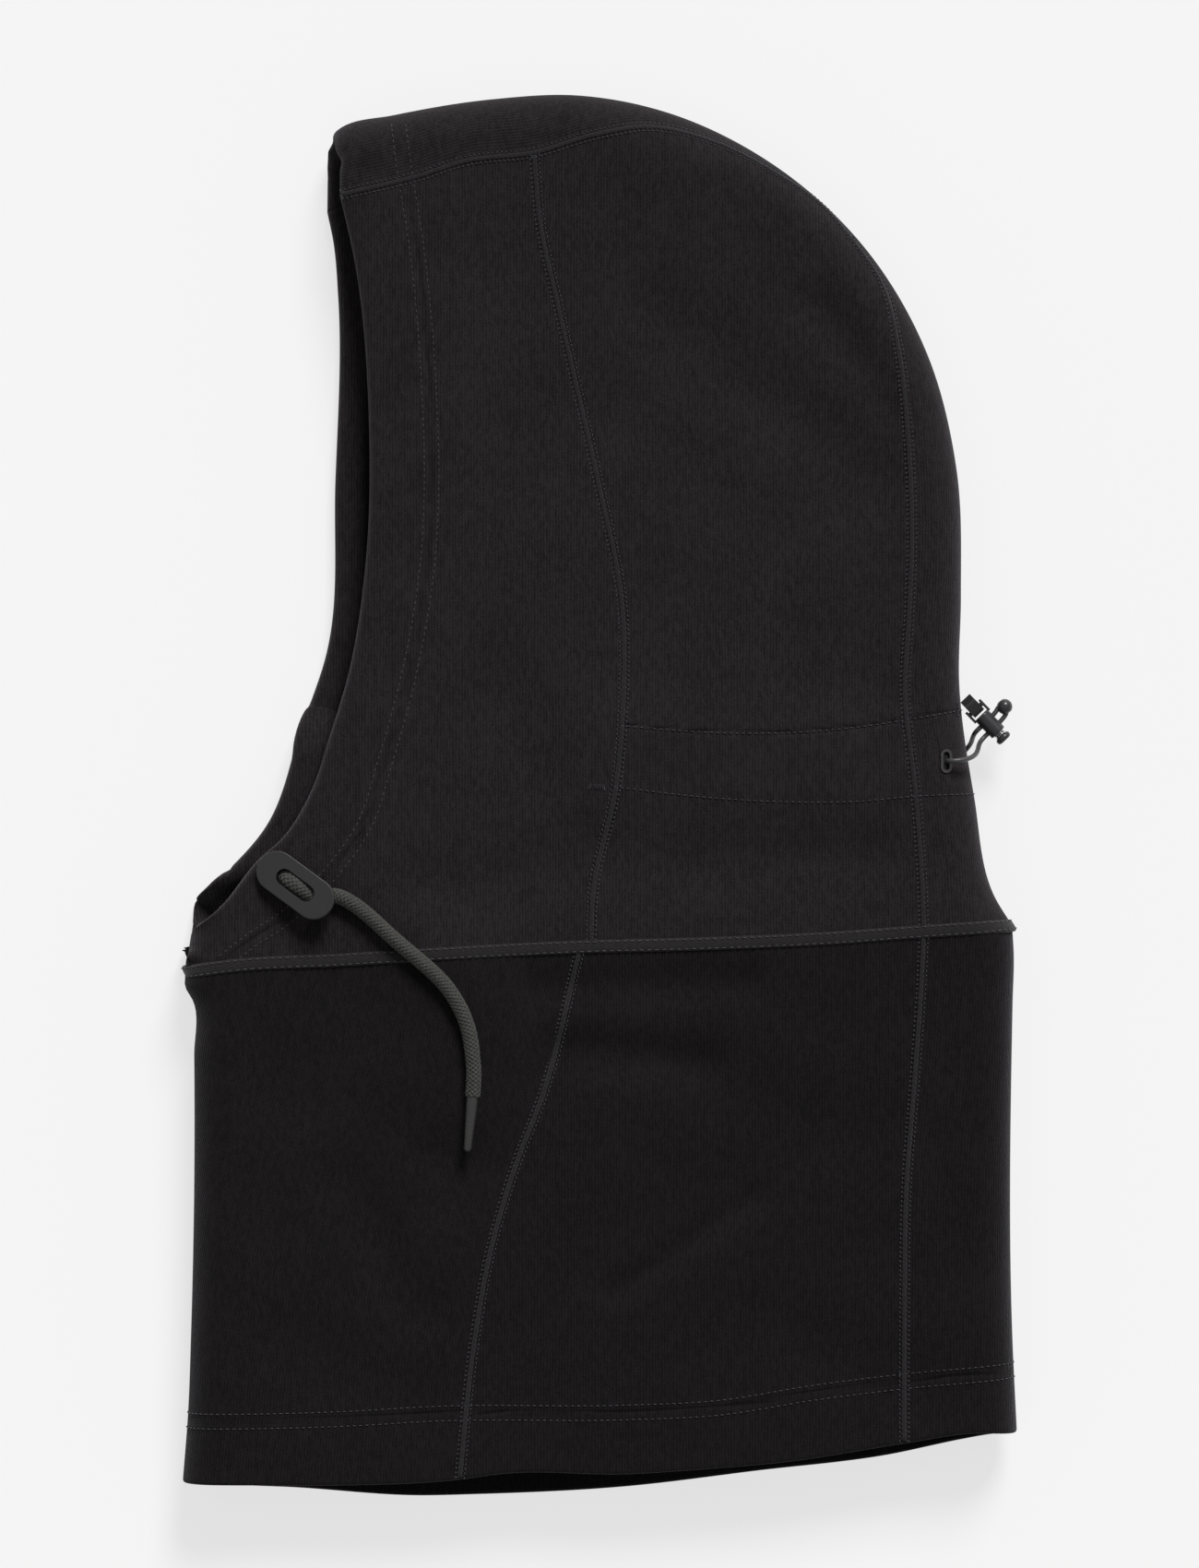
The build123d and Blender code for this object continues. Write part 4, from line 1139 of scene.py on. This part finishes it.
class MakeTails(bpy.types.Operator):
    """The drawcord's braided tails, over and under the garment"""

    bl_idname = "balaclava.drawcord_tails"
    bl_label = "Drawcord tails"

    def execute(self, context):
        sizes = context.scene.balaclava_cord
        yarn = finish_of("yarn", braid_finish)
        for side, route in (("left", left_tail), ("right", right_tail)):
            line = nurbs_line(f"{side}_tail_line", route)
            mesh = braid_mesh(f"braided_tail_{side}", line, CORD_D / 2, sizes.carriers, sizes.lay)
            tail = placed(f"braided_tail_{side}", mesh, yarn)
            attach(tail, f"{side}_cord")
            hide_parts(f"drawcord_tail_{side}")
        return {"FINISHED"}


class MakeElastic(bpy.types.Operator):
    """The elastic outside the cloth, from eyelet to eyelet through the cord lock and bead"""

    bl_idname = "balaclava.rear_elastic"
    bl_label = "Rear elastic"

    def execute(self, context):
        line = nurbs_line("elastic_line", elastic_route, 14)
        mesh = tube_mesh("elastic_pull", [spaced(line, 0.35 * MM)], ELASTIC_D / 2, 16)
        elastic = placed("elastic_pull", mesh, finish_of("elastic", elastic_finish))
        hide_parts("elastic_strand_left", "elastic_strand_right", "elastic_loop")
        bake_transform(elastic)
        return {"FINISHED"}


class MakeHood(bpy.types.Operator):
    """The hood's five cloth panels"""

    bl_idname = "balaclava.hood_cloth"
    bl_label = "Hood"

    def execute(self, context):
        sizes, finish = context.scene.balaclava_cloth, hood_fleece()
        face_rows, channel = smooth(face_row), smooth(channel_top)
        for side, upper in (("left", True), ("right", False)):
            for part, grids, rows in (("front", front_panel, face_rows), ("side", side_panel, channel)):
                cloth(f"hood_{part}_{side}", *grids(upper, sizes.step), rows, sizes.thickness, finish,
                      "hood_fleece", f"hood_{part}_panel_{side}")
        cloth("crown_back", *crown_strip(sizes.step), channel, sizes.thickness, finish, "hood_fleece",
              "crown_back_strip")
        return {"FINISHED"}


class MakeBib(bpy.types.Operator):
    """The bib's four cloth panels"""

    bl_idname = "balaclava.bib_cloth"
    bl_label = "Bib"

    def execute(self, context):
        sizes, rows = context.scene.balaclava_cloth, smooth(hem_rows_middle)
        step = sizes.step
        panels = {"bib_front": bib_front(step), "bib_back": bib_back(step),
                  "bib_side_left": bib_side(True, step), "bib_side_right": bib_side(False, step)}
        for name, (surface, rib) in panels.items():
            stem, _, side = name.partition("side_")
            replaced = f"bib_side_panel_{side}" if side else f"{stem}_panel"
            cloth(name, surface, rib, rows, sizes.thickness, bib_fleece(), "bib_fleece", replaced)
        return {"FINISHED"}


def raised(name, line, half_width, height, sink):
    """A band of seam cloth along a line, as one piece."""
    mesh = band_mesh(name, [line], half_width, height, sink)
    band = placed(name, mesh, finish_of("seam_cloth", seam_cloth))
    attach(band, "root")


class MakeNeckSeam(bpy.types.Operator):
    """The raised neck seam round the garment, with two rows of needle stitches"""

    bl_idname = "balaclava.neck_seam"
    bl_label = "Neck seam"

    def execute(self, context):
        sizes = context.scene.balaclava_stitch
        half_width, height, needles, short = 2.25 * MM, 0.75 * MM, 1.6 * MM, 1.5 * MM
        loop = spaced(trimmed(whole_loop(smooth(neck_seam, 4000)), short, short), 1.6 * MM)
        raised("neck_seam_band", loop, half_width, height, 0.5 * MM)
        rows = [lifted(loop, offset, height) for offset in (-needles, needles)]
        sew("neck_stitches", rows, sizes.neck_pitch, 0.72 * sizes.neck_pitch, 1.15 * sizes.thread)
        return {"FINISHED"}


ROW_STEP = 0.8 * MM


def sew(name, rows, pitch, length, thread):
    """Rows of stitches as one piece."""
    finish = finish_of("thread", thread_finish)
    mesh = finish_of("stitch_tree", stitch_tree).grown(
        name, row_lines(name, [spaced(row, ROW_STEP) for row in rows]),
        {"Pitch": pitch, "Length": length, "Thread": thread, "Seed": 7, "Finish": finish})
    piece = placed(name, mesh, finish)
    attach(piece, "root")


def cover(name, lines, thickness):
    """Zigzag cover thread over seams, as one piece."""
    finish = finish_of("thread", thread_finish)
    mesh = finish_of("thread_tree", thread_tree).grown(
        name, row_lines(name, lines), {"Thread": thickness / 2, "Finish": finish})
    outward_faces(mesh)
    piece = placed(name, mesh, finish)
    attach(piece, "root")


class MakeFlatSeams(bpy.types.Operator):
    """The flat seams between the panels: a low ridge, two needle rows and a cover thread"""

    bl_idname = "balaclava.flat_seams"
    bl_label = "Flat seams"

    def execute(self, context):
        sizes = context.scene.balaclava_stitch
        for side, upper in (("left", True), ("right", False)):
            front = CROWN_FRONT if upper else CROWN_FRONT_RIGHT
            feet = (DIAGONAL_FOOT, BACK_FOOT) if upper else (DIAGONAL_FOOT_RIGHT, BACK_FOOT_RIGHT)
            plans = {
                "side_seam": smooth(side_seam), "crown_seam": smooth([front] + crown_seam[1:], 900),
                "bib_diagonal_seam": smooth(diagonal_seam[:-1] + [feet[0]]),
                "bib_back_seam": smooth(back_seam[:-1] + [feet[1]]),
            }
            for label, plan in plans.items():
                line = trimmed(spaced(over(plan, upper), ROW_STEP), ROW_STEP, ROW_STEP)
                name = f"{label}_{side}"
                raised(f"{name}_ridge", spaced(line, 1.6 * MM), 0.75 * MM, 0.42 * MM, 0.4 * MM)
                rows = [lifted(line, offset, 0.18 * MM) for offset in (-1.55 * MM, 1.55 * MM)]
                sew(f"{name}_stitches", rows, sizes.flat_pitch, 0.62 * sizes.flat_pitch, sizes.thread)
                cover(f"{name}_cover", [zigzag(line, sizes.flat_pitch, 1.35 * MM, 0.25 * MM)],
                      0.6 * sizes.thread)
        return {"FINISHED"}


BIB_ROW_OFFSET, FACE_ROW_OFFSET, NECK_ROOM = 2.55 * MM, 2.5 * MM, 2.6 * MM
BRIM_TOP, LOWER_ROW_SHIFT = 233.5 * MM, 6 * MM
CHANNEL_CEILING = 120 * MM        # the channel's rows end at the back fold, below this
TACKS = ([(-3.6, 4.0), (1.8, 3.6)], [(124.3, 28.6), (124.6, 32.8)])


def fold_at(fold, height):
    """Where a fold crosses each height in plan."""
    return np.interp(height, fold[::-1, 1], fold[::-1, 0])


def bib_hem_rows():
    """Two rows round the bib's hem."""
    front, back, rows = smooth(front_fold, 1500), smooth(back_fold, 1500), []
    for offset in (-BIB_ROW_OFFSET, BIB_ROW_OFFSET):
        plan = beside(smooth(hem_rows_middle, 3000), offset)
        x, y = plan.T
        plan = plan[(x > fold_at(front, y)) & (x < fold_at(back, y))]
        rows.append(lifted(spaced(whole_loop(plan), ROW_STEP), 0, 0.2 * MM))
    return rows


def face_hem_rows():
    """Two rows on each layer, from the brim down to the neck seam."""
    neck, rows = smooth(neck_seam, 1500), []
    for offset in (-FACE_ROW_OFFSET, FACE_ROW_OFFSET):
        plan = beside(smooth(face_row, 2000), offset)
        plan = plan[plan[:, 1] < BRIM_TOP]
        for upper in (True, False):
            part = plan if upper else plan - (LOWER_ROW_SHIFT, 0)
            part = part[part[:, 1] > np.interp(part[:, 0], neck[:, 0], neck[:, 1]) + NECK_ROOM]
            rows.append(lifted(spaced(over(part, upper), ROW_STEP), 0, 0.02 * MM))
    return rows


def channel_rows():
    """The rows above and below the elastic's channel, round the back."""
    crown, rows = smooth(crown_fold, 3000), []
    back = crown[crown[:, 1] < CHANNEL_CEILING]
    for points in (channel_top, channel_bottom):
        plan = smooth(points, 3000)
        plan = plan[plan[:, 0] < fold_at(back, plan[:, 1])]
        rows.append(lifted(spaced(whole_loop(plan), ROW_STEP), 0, 0.25 * MM))
    return rows


class MakeHemRows(bpy.types.Operator):
    """The stitch rows of the hems and of the rear channel"""

    bl_idname = "balaclava.hem_rows"
    bl_label = "Hem and channel rows"

    def execute(self, context):
        sizes = context.scene.balaclava_stitch
        pitch, thread = sizes.hem_pitch, sizes.thread
        sew("bib_hem_stitches", bib_hem_rows(), pitch, 0.66 * pitch, thread)
        sew("face_hem_stitches", face_hem_rows(), pitch, 0.62 * pitch, 0.9 * thread)
        sew("channel_stitches", channel_rows(), pitch, 0.66 * pitch, thread)
        tacks = [spaced(over(metres(ends), True), 0.3 * MM) for ends in TACKS]
        cover("bar_tacks", [zigzag(tack, 0.55 * MM, 0.9 * MM, 0.25 * MM) for tack in tacks], thread)
        return {"FINISHED"}


class FinishFittings(bpy.types.Operator):
    """Finishes of the plates, tips, eyelets, cord lock and the parts inside the hem"""

    bl_idname = "balaclava.fittings"
    bl_label = "Fittings"

    def execute(self, context):
        plate = moulding("plate_plastic", 0.5, (0.0105, 0.0105, 0.011), 0.25 * MM)
        lock = moulding("lock_plastic", 0.26, (0.024, 0.024, 0.026), 0.5 * MM)
        tip = metal("aglet_satin", 0.34, (0.07, 0.068, 0.067), 0.7)
        eyelet = metal("eyelet_lacquer", 0.36, (0.11, 0.11, 0.115))
        spring = metal("spring_wire", 0.25, (0.55, 0.55, 0.56))
        tape = finish_of("seam_cloth", seam_cloth)
        yarn, elastic = finish_of("yarn", braid_finish), finish_of("elastic", elastic_finish)
        chosen = {
            "stopper_plate_left": plate, "stopper_plate_right": plate, "aglet_left": tip, "aglet_right": tip,
            "front_eyelet_left": eyelet, "front_eyelet_right": eyelet, "rear_eyelet_left": eyelet,
            "rear_eyelet_right": eyelet, "cord_lock_body": lock, "cord_lock_plunger": lock, "stop_bead": lock,
            "cord_lock_spring": spring, "cord_lock_tab": grosgrain(), "rear_channel_tape": tape,
            "drawcord": yarn, "elastic_in_channel_left": elastic, "elastic_in_channel_right": elastic,
        }
        for name, finish in chosen.items():
            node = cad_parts[name]
            node.data.materials.clear()
            node.data.materials.append(finish)
        return {"FINISHED"}


OPERATORS = [MakeStage, MakeTails, MakeElastic, MakeHood, MakeBib, MakeNeckSeam, MakeFlatSeams, MakeHemRows,
             FinishFittings]


class BalaclavaPanel(bpy.types.Panel):
    """The making of the balaclava, step by step"""

    bl_idname = "VIEW3D_PT_balaclava"
    bl_label = "Balaclava"
    bl_space_type = "VIEW_3D"
    bl_region_type = "UI"
    bl_category = "Balaclava"

    def draw(self, context):
        for operator in OPERATORS:
            self.layout.operator(operator.bl_idname)
        for group, kind in GROUPS.items():
            for label in kind.__annotations__:
                self.layout.prop(getattr(context.scene, group), label)


def register():
    for group, kind in GROUPS.items():
        bpy.utils.register_class(kind)
        setattr(bpy.types.Scene, group, PointerProperty(type=kind))
    for kind in (*OPERATORS, BalaclavaPanel):
        bpy.utils.register_class(kind)


def unregister():
    for kind in (BalaclavaPanel, *reversed(OPERATORS)):
        bpy.utils.unregister_class(kind)
    for group, kind in GROUPS.items():
        delattr(bpy.types.Scene, group)
        bpy.utils.unregister_class(kind)


def make_balaclava():
    """Builds everything in order."""
    register()
    for operator in OPERATORS:
        group, name = operator.bl_idname.split(".")
        getattr(getattr(bpy.ops, group), name)()


if __name__ == "__main__":
    make_balaclava()
